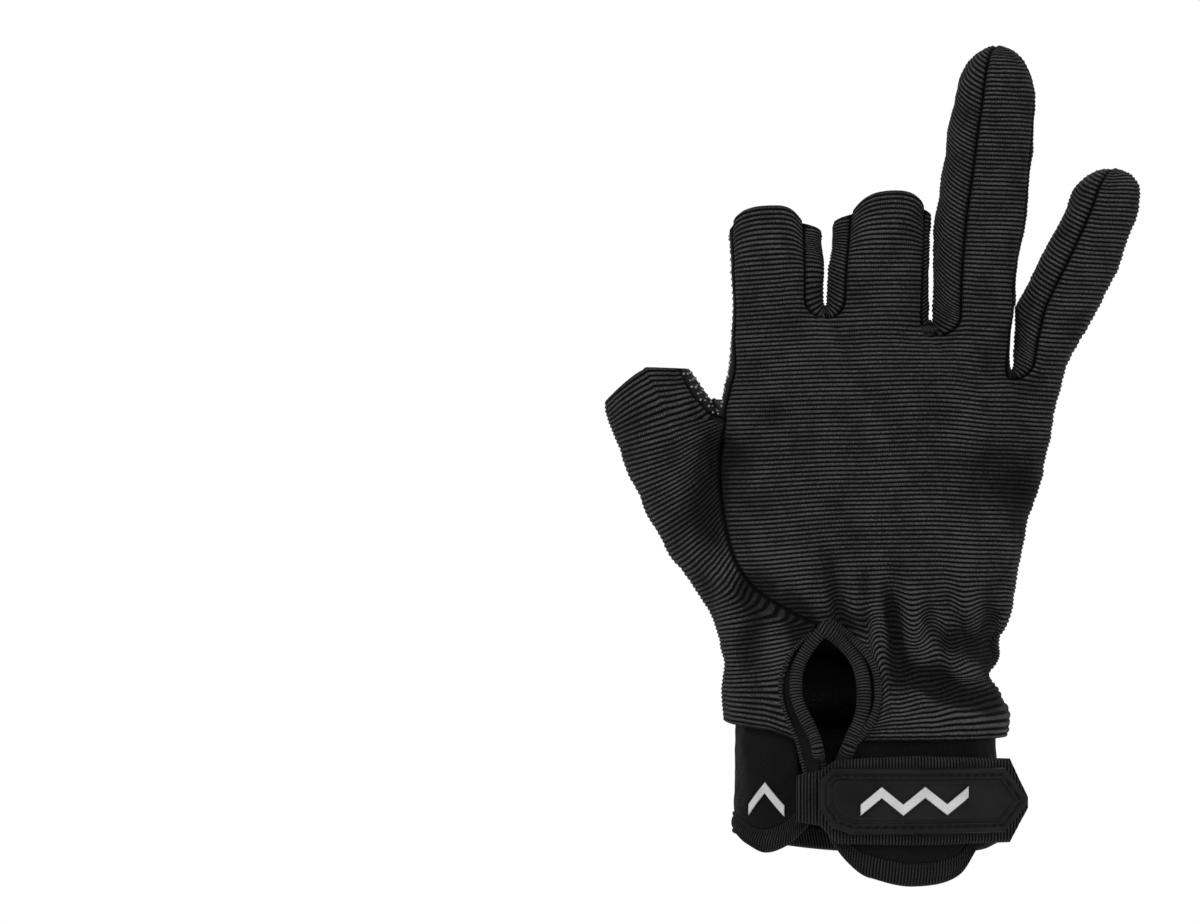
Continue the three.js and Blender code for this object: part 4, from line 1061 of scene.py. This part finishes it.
def back_panel():
    shared = rows_between([FABRIC_EDGE, CROTCH_Z[3], CROTCH_Z[2], CROTCH_Z[1]], RIB, ROWS_PER_RIB)
    cloth = Cloth()
    offset = np.zeros(len(shared))
    for name in NAMES[1:]:
        own = rows_between([SHARED_TOP, rib_top(name)], RIB, ROWS_PER_RIB)[1:]
        levels = np.concatenate([shared, own])
        grid, along = strip_grid(name, -1, levels, offset)
        cloth.add(grid, along, np.arange(len(levels))[:, None] / ROWS_PER_RIB)
        offset = along[:len(shared), -1]
    cloth.close()
    return finish_panel("back_panel", cloth, True)


def thumb_panel():
    levels = rows_between([TAB_EDGE, rib_top("thumb")], RIB, ROWS_PER_RIB)
    grid, _ = strip_grid("thumb", -1, levels, np.zeros(1), 40)
    return finish_panel("thumb_panel", sewn(grid, np.arange(len(levels))[:, None] / ROWS_PER_RIB), True)


# How far the ribs of the strips between the fingers drop towards the back, on each side of a gap.
WEB_SLANT = {1: (-3.2, 0.6), 2: (1.5, 4.6), 3: (1.5, 3.4)}


def web_levels(name, k):
    """Counts of ribs up one side of a gap: first round the bend, then straight up."""
    height = turn_height(k)
    bend = np.linspace(0, math.pi / 2, 6 * ROWS_PER_RIB + 1)[1:]
    start = CROTCH_Z[k] + height
    count = max(2, round((rib_top(name) - start) / RIB)) * ROWS_PER_RIB
    straight = start + (rib_top(name) - start) * np.arange(1, count + 1) / count
    return np.concatenate([CROTCH_Z[k] + height * (1 - np.cos(bend)), straight])


def web_row_height(name, hand, side, k, s):
    """The height where a rib of the strip in gap k meets the seam on one side."""
    plain = below_rim(name, side, hand, s, s) if DIGITS[name]["open"] else over_cap(name, s)
    slant = WEB_SLANT.get(k, (0, 0))[0 if hand > 0 else 1]
    fade = ease((s - CROTCH_Z[k]) / 14) * (1 - ease((s - rib_top(name) + 16) / 16))
    return plain + side * slant * fade


def gap_middle(k, z):
    """The middle of gap k, between the walls of its two digits."""
    left_x, _, left_w, _ = digit_section(NAMES[k], z)
    right_x, _, right_w, _ = digit_section(NAMES[k + 1], z)
    return (left_x + left_w + right_x - right_w) / 2


def web_bottom(k, columns):
    """The row of points along the bottom of gap k, from the seam on the back to the one on the palm."""
    bottom = np.array([CROTCH_Z[k]])
    back = strip_points(NAMES[k + 1], -1, -1.0, bottom)[0]
    palm = strip_points(NAMES[k + 1], 1, -1.0, bottom)[0]
    points = back + (palm - back) * (np.arange(columns + 1) / columns)[:, None]
    steps = CROTCH_Z[k] + np.arange(0, 16, 0.05)
    for i in range(1, columns):
        line = np.stack([gap_middle(k, steps), np.full(len(steps), points[i, 1]), steps], 1)
        points[i] = line[np.argmax(glove_field(line) > 0)]
    return points


def web_arm(name, hand, k, levels, columns, bottom):
    """Rows up one side of gap k: level rays from inside the digit find its wall."""
    back = strip_points(name, -1, float(hand), web_row_height(name, hand, -1, k, levels))
    palm = strip_points(name, 1, float(hand), web_row_height(name, hand, 1, k, levels))
    share = np.arange(columns + 1)[None, :, None] / columns
    rows = back[:, None] + (palm - back)[:, None] * share
    low = CROTCH_Z[k]
    top = rows[np.argmax(levels), :, 2]
    up = np.clip((rows[:, :, 2] - low) / (top - low), 0, 1)
    height = rows[:, :, 2] + (bottom[:, 2] - low) * (1 - up)
    inner = rows[:, 1:-1].copy()
    inner[:, :, 2] = height[:, 1:-1]
    inner[:, :, 0] = digit_section(name, inner[:, :, 2].ravel())[0].reshape(inner.shape[:2])
    way = np.tile([float(hand), 0.0, 0.0], (inner.shape[0] * inner.shape[1], 1))
    rows[:, 1:-1] = leave(inner.reshape(-1, 3), way).reshape(inner.shape)
    return rows


def web_grid(k, left_levels, right_levels, columns):
    """The strip in gap k, from the top of its left side down and up to the top of its right side."""
    bottom = web_bottom(k, columns)
    left_rows = web_arm(NAMES[k], 1, k, left_levels[::-1], columns, bottom)
    right_rows = web_arm(NAMES[k + 1], -1, k, right_levels, columns, bottom)
    return np.concatenate([left_rows, bottom[None], right_rows])


WEB_COLUMNS = 12


def fourchette(k, name):
    grid = web_grid(k, web_levels(NAMES[k], k), web_levels(NAMES[k + 1], k), WEB_COLUMNS)
    return finish_panel(name, sewn(grid, np.arange(len(grid))[:, None] / ROWS_PER_RIB, True), True)


PALM_STEP = 1.0
CROTCH_COLUMNS = 14
DOT_PITCH = 2.0
DOT_ROUND = 0.38
DOT_HEIGHT = 0.36
DOT_CLEAR = 1.3  # how far dots stay from the edges


def in_step(strips, shared_rows):
    """Strips whose places along a row count from one line on the palm, so that dots keep step."""
    heart = strips[1][1][:, -1]
    moved = []
    for (grid, along, levels), count in zip(strips, shared_rows):
        middle = along[:, STRIP_COLUMNS // 2]
        place = np.full(len(along), middle[count - 1] - heart[count - 1])
        place[:count] = middle[:count] - heart[:count]
        moved.append((grid, along - middle[:, None] + place[:, None], levels))
    return moved


def palm_panel():
    bend = CROTCH_Z[0] + THUMB_TURN * (1 - np.cos(np.linspace(0, math.pi / 2, 13)[1:]))
    low = rows_between([FABRIC_EDGE, CROTCH_Z[0]], PALM_STEP, 1)
    high = rows_between([bend[-1], CROTCH_Z[3], CROTCH_Z[2], CROTCH_Z[1]], PALM_STEP, 1)[1:]
    shared = np.concatenate([low, bend, high])
    thumb_high = CROTCH_Z[0] + (rib_top("thumb") - CROTCH_Z[0]) * (np.arange(1, 25) / 24) ** 1.6
    cloth = Cloth()
    strips = []
    offset = np.zeros(len(shared))
    for name in NAMES:
        if name == "thumb":
            levels = np.concatenate([low, thumb_high])
        else:
            own = rows_between([SHARED_TOP, rib_top(name)], PALM_STEP, 1)[1:]
            levels = np.concatenate([shared, own])
        grid, along = strip_grid(name, 1, levels, offset)
        cloth.add(grid, along, levels[:, None], flip=True)
        strips.append((grid, along, grid[:, STRIP_COLUMNS // 2, 2] if DIGITS[name]["open"] else levels))
        last = along[:, -1]
        offset = np.concatenate([last[:len(low)], np.full(len(shared) - len(low), last[len(low) - 1])])
        offset = offset if name == "thumb" else last[:len(shared)]
    right_levels = np.concatenate([bend, high])
    index_own = rows_between([SHARED_TOP, rib_top("index")], PALM_STEP, 1)[1:]
    web = web_grid(0, thumb_high, np.concatenate([right_levels, index_own]), CROTCH_COLUMNS)
    web_row = np.arange(len(web))[:, None] * PALM_STEP
    cloth.add(web, lengths_along(web), web_row, flip=True)
    strips = in_step(strips, [len(low), *[len(shared)] * 4])
    strips.append((web, lengths_along(web), lengths_along(web.transpose(1, 0, 2))[CROTCH_COLUMNS // 2]))
    cloth.close()
    finish_panel("palm_panel", cloth, False)
    grip_dots(cloth, strips)


def dot_places(grid, along, levels):
    """Places of dots in staggered rows over a grid, a dot pitch apart along and up it."""
    pitch_up = DOT_PITCH * 0.5 * math.sqrt(3)
    places = []
    for number in range(math.ceil(levels[0] / pitch_up), int(levels[-1] / pitch_up)):
        at = np.interp(number * pitch_up, levels, np.arange(len(levels)))
        i = min(int(at), len(grid) - 2)
        row = mix(grid[i], grid[i + 1], at - i)
        reach = mix(along[i], along[i + 1], at - i)
        shift = 0.5 * DOT_PITCH * (number % 2)
        first = math.ceil((reach[0] - shift) / DOT_PITCH)
        spots = np.arange(first, int((reach[-1] - shift) / DOT_PITCH) + 1) * DOT_PITCH + shift
        spots = spots[(spots >= reach[0]) & (spots < reach[-1])]
        places.append(np.stack([np.interp(spots, reach, row[:, axis]) for axis in range(3)], 1))
    return np.concatenate(places)


def grip_dots(cloth, strips):
    """Joined mesh of small domes that sit on the palm's skin."""
    places = np.concatenate([dot_places(grid, along, levels) for grid, along, levels in strips])
    under, _ = nearest(cloth.base, places)
    clear = cloth.edge[under] > DOT_CLEAR
    base = places[clear]
    under = under[clear]
    lift = panel_lift(base, cloth.edge[under])
    facing = cloth.normal[under]
    sideways = np.cross(facing, np.array([0.0, 0.0, 1.0]))
    sideways /= np.linalg.norm(sideways, axis=1)[:, None]
    upward = np.cross(facing, sideways)
    sides = 7
    turns = 2 * math.pi * np.arange(sides) / sides
    profile = [(1.0, -0.5), (0.95, 0.35), (0.6, 0.85)]
    rings = []
    for reach, height in profile:
        flat = sideways[:, None] * np.cos(turns)[:, None] + upward[:, None] * np.sin(turns)[:, None]
        out = (lift + height * DOT_HEIGHT)[:, None, None] * facing[:, None]
        rings.append(base[:, None] + flat * reach * DOT_ROUND + out)
    top = (base + facing * (lift + DOT_HEIGHT)[:, None])[:, None]
    bottom = (base + facing * (lift - 0.5 * DOT_HEIGHT)[:, None])[:, None]
    points = np.concatenate([*rings, top, bottom], axis=1)
    faces = []
    for j in range(sides):
        after = (j + 1) % sides
        for level in (0, sides):
            faces.append((level + j, level + after, level + sides + after))
            faces.append((level + j, level + sides + after, level + sides + j))
        faces.append((2 * sides + j, 2 * sides + after, 3 * sides))
        faces.append((after, j, 3 * sides + 1))
    each = points.shape[1]
    faces = np.array(faces)[None] + (np.arange(len(points)) * each)[:, None, None]
    faces = faces.reshape(-1, 3)
    sample = points[0]
    a, b, c = sample[0], sample[1], sample[sides + 1]
    if np.dot(np.cross(b - a, c - a), a - sample[3 * sides + 1]) < 0:
        faces = faces[:, ::-1]
    return make_piece("grip_dots", points.reshape(-1, 3), faces, None, DOT, "dotted_knit")


def signed_power(value, power):
    return np.sign(value) * np.abs(value) ** power


def cuff_point(turn, z, out):
    flare = CUFF_FLARE * (1 - z / FABRIC_EDGE)
    x = CUFF_SHIFT - (CUFF_HALF_WIDTH + flare + out) * signed_power(np.sin(turn), 2 / CUFF_CORNER)
    y = -(CUFF_HALF_DEPTH + flare + out) * signed_power(np.cos(turn), 2 / CUFF_CORNER)
    return np.stack(np.broadcast_arrays(x, y, z), -1)


def cuff_turn(c, z):
    flare = CUFF_FLARE * (1 - z / FABRIC_EDGE)
    edges = []
    for column in ("tab", "flap"):
        x = -read(SLIT, column, z / FABRIC_EDGE) * CUFF_HALF_WIDTH
        share = x / (CUFF_HALF_WIDTH + flare)
        edges.append(np.arcsin(signed_power(share, CUFF_CORNER / 2)))
    return mix(edges[0], 2 * math.pi + edges[1], c)


def hem_low(c):
    return read(HEM, "low", c) * FABRIC_EDGE


def cuff_grid(low, high, out, rows, columns):
    """The cuff's skin between two edges, from the flap back to the tab."""
    c = 1 - np.linspace(0, 1, columns + 1)[None, :]
    share = np.linspace(0, 1, rows + 1)[:, None]
    z = mix(low(c), high(c), share)
    return cuff_point(cuff_turn(c, z), z, out)


def cuff():
    grid = cuff_grid(
        lambda c: hem_low(c) + HEM_HEIGHT - 1,
        lambda c: FABRIC_EDGE + read(CUFF_TOP, "rise", c) * CUFF_LAP,
        0, 36, 220,
    )
    cloth = sewn(grid)
    wrinkles = 0.18 * ripple(cloth.base, 11, 21) + 0.06 * ripple(cloth.base, 4, 22)
    lift = wrinkles * np.clip(cloth.edge / 3, 0, 1)
    sheet = cloth.solid(CUFF_WALL / 2, 1.0, lift, -lift)
    return sheet_piece("cuff_skin", cloth, sheet, SMOOTH, "smooth_knit", ["cuff"])


def cross_ribs(along, height):
    """Fine ribs across a band, in step with those of its material."""
    return height * np.cos(2 * math.pi * along / BAND_RIB + math.pi)


def cuff_hem():
    cloth = sewn(cuff_grid(hem_low, lambda c: hem_low(c) + HEM_HEIGHT, HEM_PROUD, 12, 880))
    ribs = cross_ribs(cloth.mark[:, 0], 0.1) * np.clip(cloth.edge / 0.8, 0.2, 1)
    groove = -HEM_GROOVE_DEPTH * bell((cloth.edge - HEM_GROOVE) / 0.5)
    sheet = cloth.solid(HEM_WALL / 2, 1.4, ribs + groove, ribs)
    return sheet_piece("hem_band", cloth, sheet, HEM_KNIT, "smooth_knit", ["cuff_hem"])


OUT_OF_BACK = np.array([0.0, -1.0, 0.0])


def sweep(centres, width, depth, sides, rib_height, rib_pitch):
    """A closed cord of oval section along points on the back. Fine ribs ring it."""
    along = np.gradient(centres, axis=0)
    along /= np.linalg.norm(along, axis=1)[:, None]
    out = OUT_OF_BACK - along * np.sum(OUT_OF_BACK * along, axis=1)[:, None]
    out /= np.linalg.norm(out, axis=1)[:, None]
    across = np.cross(along, out)
    run = np.concatenate([[0], np.cumsum(np.linalg.norm(np.diff(centres, axis=0), axis=1))])
    end = np.minimum(run, run[-1] - run)
    swell = np.sqrt(1 - (1 - np.clip(end / (width * 0.4), 0.02, 1)) ** 2)
    turns = 2 * math.pi * np.arange(sides) / sides
    grow = swell + rib_height / width * 2 * np.cos(2 * math.pi * run / rib_pitch)
    ring = -np.cos(turns)[None, :, None] * across[:, None] * width / 2
    ring = ring + np.sin(turns)[None, :, None] * out[:, None] * depth / 2
    points = centres[:, None] + ring * grow[:, None, None]
    count = len(centres)
    at = np.arange(count * sides).reshape(count, sides)
    after = np.roll(at, -1, axis=1)
    last = count * sides
    faces = np.concatenate([
        np.stack([at[:-1], after[1:], at[1:]], -1).reshape(-1, 3),
        np.stack([at[:-1], after[:-1], after[1:]], -1).reshape(-1, 3),
        np.stack([np.full(sides, last), after[0], at[0]], 1),
        np.stack([np.full(sides, last + 1), at[-1], after[-1]], 1),
    ])
    marks = np.zeros((count, sides, 3))
    marks[:, :, 0] = run[:, None]
    marks[:, :, 1] = (turns * width / 2)[None, :]
    marks[:, :, 2] = 2
    ends = np.array([[0, 0, 2.0], [run[-1], 0, 2.0]])
    points = np.concatenate([points.reshape(-1, 3), centres[[0, -1]]])
    return points, faces, np.concatenate([marks.reshape(-1, 3), ends])


# The keyhole's trims, by height: the two rolls, the piping on the right and the stitched edge on the left.
LEFT_ROLL = table("z x", [
    (27.5, -13.2), (31.5, -13.5), (34.8, -14.1), (37.6, -14.6), (41.6, -16.2), (45.6, -18.3),
    (49.3, -19.6), (53.3, -19.8), (57, -19.2), (61.5, -17.0), (65.2, -14.2), (67.4, -12.2),
])
RIGHT_ROLL = table("z x", [
    (31.5, -8.2), (34.8, -6.9), (39.8, -4.8), (43.2, -3.2), (46.9, -2.3), (52.5, -2.2), (56.4, -2.8),
    (59.9, -4.4), (63.6, -7.5), (66.4, -10.9), (68.2, -13.8),
])
RIGHT_PIPING = table("z x", [
    (37.6, -4.4), (41.3, -1.6), (45.6, 0.6), (50.1, 1.5), (56.2, 0.9), (60.7, -1.4), (65.5, -5.9),
    (69.4, -11.2),
])
LEFT_EDGE = table("z x", [
    (28.5, -17.2), (34.8, -18.8), (38, -19.6), (42.3, -21.4), (46.1, -22.9), (49.8, -23.7),
    (54.1, -23.7), (58.1, -22.7), (60.6, -21.2), (63.2, -18.8), (66.2, -15.4),
])


def on_back(x, z, sink):
    """Points on the back's skin, that deep in it. Below the fabric they stand clear of the cuff."""
    start = np.stack(np.broadcast_arrays(x, 0.0, z), -1).reshape(-1, 3)
    skin = leave(start, np.tile(OUT_OF_BACK, (len(start), 1)))
    clear = np.clip((start[:, 2] - FABRIC_EDGE) / CUFF_LAP - 0.5, -1, 1)
    skin[:, 1] += np.where(clear > 0, sink * clear, 0.9 * clear)
    return skin.reshape(*np.broadcast_shapes(np.shape(x), np.shape(z)), 3)


def trim_path(rows, count, sink):
    """Points along one trim, evenly spaced."""
    z = np.linspace(rows["z"][0], rows["z"][-1], count * 2)
    x = read(rows, "x", z)
    run = np.concatenate([[0], np.cumsum(np.hypot(np.diff(x), np.diff(z)))])
    even = np.interp(np.linspace(0, run[-1], count), run, z)
    return on_back(read(rows, "x", even), even, sink)


ROLL_RISES = 62  # height above which the right roll lies over the left one
ROLL_DIPS = 36.5  # height where they go down behind the strap
ROLL_DIP = 2.2


def keyhole_roll(rows, name, node, width, top_lift):
    """A roll along the slit. Its lower end goes down behind the strap."""
    centres = trim_path(rows, 340, 0.4)
    centres[:, 1] -= top_lift * ease((centres[:, 2] - ROLL_RISES) / 5)
    centres[:, 1] += ROLL_DIP * ease((ROLL_DIPS - centres[:, 2]) / 4)
    cord = sweep(centres, width, BINDING_DEPTH, 24, 0.06, BINDING_RIB)
    make_piece(name, *cord, BINDING_KNIT, "ribbed_knit", [node])


def keyhole_trim():
    """The piping outside the right roll, and the flat band with its stitched edge outside the left one."""
    piping = sweep(trim_path(RIGHT_PIPING, 300, -0.45), 2.0, 2.0, 16, 0.06, BINDING_RIB)
    make_piece("keyhole_piping_right", *piping, BINDING_KNIT, "ribbed_knit")
    stitched = sweep(trim_path(LEFT_EDGE, 300, 0.15), 1.1, 1.0, 12, 0.07, 1.1)
    make_piece("keyhole_edge_left", *stitched, BINDING_KNIT, "ribbed_knit")
    z = np.linspace(LEFT_EDGE["z"][0], 66, 140)[:, None]
    share = np.linspace(0, 1, 15)[None, :]
    across = mix(read(LEFT_EDGE, "x", z) - 0.6, read(LEFT_ROLL, "x", z), share)
    cloth = sewn(on_back(across, z + 0 * share, 0.9))
    sheet = cloth.solid(0.5, 0.5, 0.08 * ripple(cloth.base, 5, 31), 0)
    sheet_piece("keyhole_band_left", cloth, sheet, SMOOTH, "smooth_knit")


def strap_point(x, z, out):
    """A point on the strap's run, at a distance outside the cuff's hem."""
    a = CUFF_HALF_WIDTH + CUFF_FLARE + HEM_PROUD + STRAP_CLEAR
    b = CUFF_HALF_DEPTH + CUFF_FLARE + HEM_PROUD + STRAP_CLEAR

    def arc(u):
        return -b * (1 - np.abs((u - CUFF_SHIFT) / a) ** CUFF_CORNER) ** (1 / CUFF_CORNER)

    u = np.clip(x, -STRAP_LEAVES, STRAP_LEAVES)
    tilt = (arc(u + 0.01) - arc(u - 0.01)) / 0.02
    away = np.hypot(1, tilt)
    y = arc(u) + tilt * (x - u) - out / away
    return np.stack(np.broadcast_arrays(x + tilt * out / away, y, z), -1)


def strap_grid(outline, left, right, width, out, rows, columns):
    """A grid on the strap's run inside an outline of straight edges."""
    share = np.linspace(0, 1, columns + 1)[None, :]
    low = STRAP_MIDDLE + np.interp(share, outline["x"], outline["low"]) * width
    high = STRAP_MIDDLE + np.interp(share, outline["x"], outline["high"]) * width
    z = mix(low, high, np.linspace(0, 1, rows + 1)[:, None])
    return strap_point(mix(left, right, share), z, out)


def strap():
    cloth = sewn(strap_grid(STRAP, STRAP_ROOT, STRAP_REACH, STRAP_WIDTH, STRAP_WALL, 24, 300))
    cloth.mark[:, 0] = cloth.base[:, 0]
    lift = cross_ribs(cloth.base[:, 0], 0.12) * np.clip(cloth.edge / 0.6, 0, 1)
    neck = 1 - ease((cloth.base[:, 0] + 14.5) / 2.5)
    pleats = 0.28 * np.cos(2 * math.pi * cloth.base[:, 0] / NECK_PLEAT) - 0.15
    lift = lift + neck * pleats * np.clip(cloth.edge, 0, 1)
    sheet = cloth.solid(STRAP_WALL / 2, 0.7, lift, lift)
    return sheet_piece("strap_webbing", cloth, sheet, WEBBING, "webbing", ["strap"])


def strap_patch():
    base = STRAP_WALL + SEAM_GAP / 2 + PATCH_WALL / 2
    cloth = sewn(strap_grid(PATCH, PATCH_LEFT, PATCH_RIGHT, PATCH_WIDTH, base, 80, 260))
    d = cloth.edge
    rim = PATCH_RIM * (ease(d / 0.5) - ease((d - PATCH_RIM_WIDTH + 0.3) / 0.7))
    dash = ease(0.5 + 1.6 * np.cos(2 * math.pi * cloth.base[:, 0] / PATCH_STITCH))
    off_groove = d - PATCH_GROOVE
    stitch_line = 0.42 * bell(off_groove / 0.42) - 0.36 * dash * bell(off_groove / 0.26)
    panel_edge = 0.22 * bell((d - PATCH_RIM_WIDTH - 1.0) / 0.35)
    lift = rim - stitch_line + panel_edge + 0.05 * ripple(cloth.base, 7, 41)
    sheet = cloth.solid(PATCH_WALL / 2, 0.5, lift, 0, middle=0.0)
    return sheet_piece("patch_moulding", cloth, sheet, RUBBER, "patch_rubber", ["strap_patch"])


def wave(share, corners):
    at = share * corners
    part = at - np.floor(at)
    return np.where(np.floor(at) % 2 == 1, 1 - part, part)


def print_piece(name, grid, node):
    cloth = sewn(grid)
    sheet = cloth.solid(PRINT_WALL / 2, 0.3, 0 * cloth.edge, 0, middle=0.0)
    return sheet_piece(name, cloth, sheet, PRINT, "grey_print", [node])


MARK_CORNERS = 5
MARK_FROM = -3.2
MARK_TO = 23.6
MARK_RISE = 4.6
TAB_MARK_FROM = 0.62
TAB_MARK_TO = 1.05
TAB_MARK_LOW = 18
TAB_MARK_RISE = 6


def patch_mark():
    share = np.linspace(0, 1, MARK_CORNERS * 24 + 1)[None, :]
    low = STRAP_MIDDLE + (wave(share, MARK_CORNERS) - 0.5) * MARK_RISE - MARK_WIDTH / 2
    z = low + MARK_WIDTH * np.linspace(0, 1, 13)[:, None]
    out = STRAP_WALL + SEAM_GAP / 2 + PATCH_WALL + SEAM_GAP / 2 + PRINT_WALL / 2
    return print_piece("patch_zigzag", strap_point(mix(MARK_FROM, MARK_TO, share), z, out), "patch_mark")


def tab_mark():
    share = np.linspace(0, 1, 65)[None, :]
    z = TAB_MARK_LOW + wave(share, 2) * TAB_MARK_RISE + MARK_WIDTH * np.linspace(0, 1, 13)[:, None]
    turn = mix(TAB_MARK_TO, TAB_MARK_FROM, share)
    return print_piece("tab_chevron", cuff_point(turn, z, SEAM_GAP / 2 + PRINT_WALL / 2), "tab_mark")


FLOOR_RADIUS = 1.15  # metres, as the floor's height
FLOOR_HEIGHT = -0.12


def stage():
    """A pale floor well below the glove, soft light from a pale sky and three large lamps."""
    sheet = bpy.data.meshes.new("floor")
    corners = range(64)
    turns = [2 * math.pi * i / len(corners) for i in corners]
    rim = [(FLOOR_RADIUS * math.cos(turn), FLOOR_RADIUS * math.sin(turn), FLOOR_HEIGHT) for turn in turns]
    sheet.from_pydata(rim, [], [list(corners)])
    floor = bpy.data.objects.new("floor", sheet)
    bpy.context.scene.collection.objects.link(floor)
    paper = Nodes("paper", Specular_IOR_Level=0.2)
    tone = paper.blend(paper.noise(6, 2.0), grey(0.86), grey(0.9))
    sheet.materials.append(paper.finish(tone, 0.9, paper.bump(paper.noise(900, 2.0), 0.0001)))
    world = bpy.data.worlds.new("soft_sky")
    bpy.context.scene.world = world
    world.use_nodes = True
    sky = world.node_tree.nodes["Background"]
    sky.inputs["Color"].default_value = (1.0, 1.0, 1.0, 1.0)
    sky.inputs["Strength"].default_value = 1.0
    for name, place, size, power in (
        ("key", (-0.9, -1.3, 1.3), 0.9, 26),
        ("fill", (1.2, -1.1, 0.5), 1.0, 10),
        ("back", (0.2, 1.4, 1.1), 1.2, 16),
    ):
        lamp = bpy.data.lights.new(name, "AREA")
        lamp.shape = "DISK"
        lamp.size = size
        lamp.energy = power
        holder = bpy.data.objects.new(name, lamp)
        bpy.context.scene.collection.objects.link(holder)
        holder.location = place
        aim = Vector((0.0, 0.0, 0.1)) - Vector(place)
        holder.rotation_euler = aim.to_track_quat("-Z", "Y").to_euler()


PHOTO_WIDTH = 1200
PHOTO_SCALE = 0.265  # millimetres in one pixel of the photograph
PHOTO_CENTRE = (-71, 111)  # x and z at the middle of the photograph
CAMERA_DISTANCE = 1500


def camera():
    lens = bpy.data.cameras.new("camera")
    lens.sensor_width = 36
    lens.lens = 36 * CAMERA_DISTANCE / (PHOTO_WIDTH * PHOTO_SCALE)
    lens.clip_end = 20
    holder = bpy.data.objects.new("camera", lens)
    bpy.context.scene.collection.objects.link(holder)
    holder.location = (PHOTO_CENTRE[0] * MM, -CAMERA_DISTANCE * MM, PHOTO_CENTRE[1] * MM)
    holder.rotation_euler = (math.pi / 2, 0, 0)
    bpy.context.scene.camera = holder
    bpy.context.scene.view_settings.view_transform = "Standard"


camera()
stage()
back_panel()
thumb_panel()
palm_panel()
fourchette(1, "fourchette_index_middle")
fourchette(2, "fourchette_middle_ring")
fourchette(3, "fourchette_ring_little")
cuff()
cuff_hem()
keyhole_roll(LEFT_ROLL, "roll_left", "keyhole_binding_left", LEFT_ROLL_WIDTH, 0.0)
keyhole_roll(RIGHT_ROLL, "roll_right", "keyhole_binding_right", RIGHT_ROLL_WIDTH, 0.8)
keyhole_trim()
strap()
strap_patch()
patch_mark()
tab_mark()
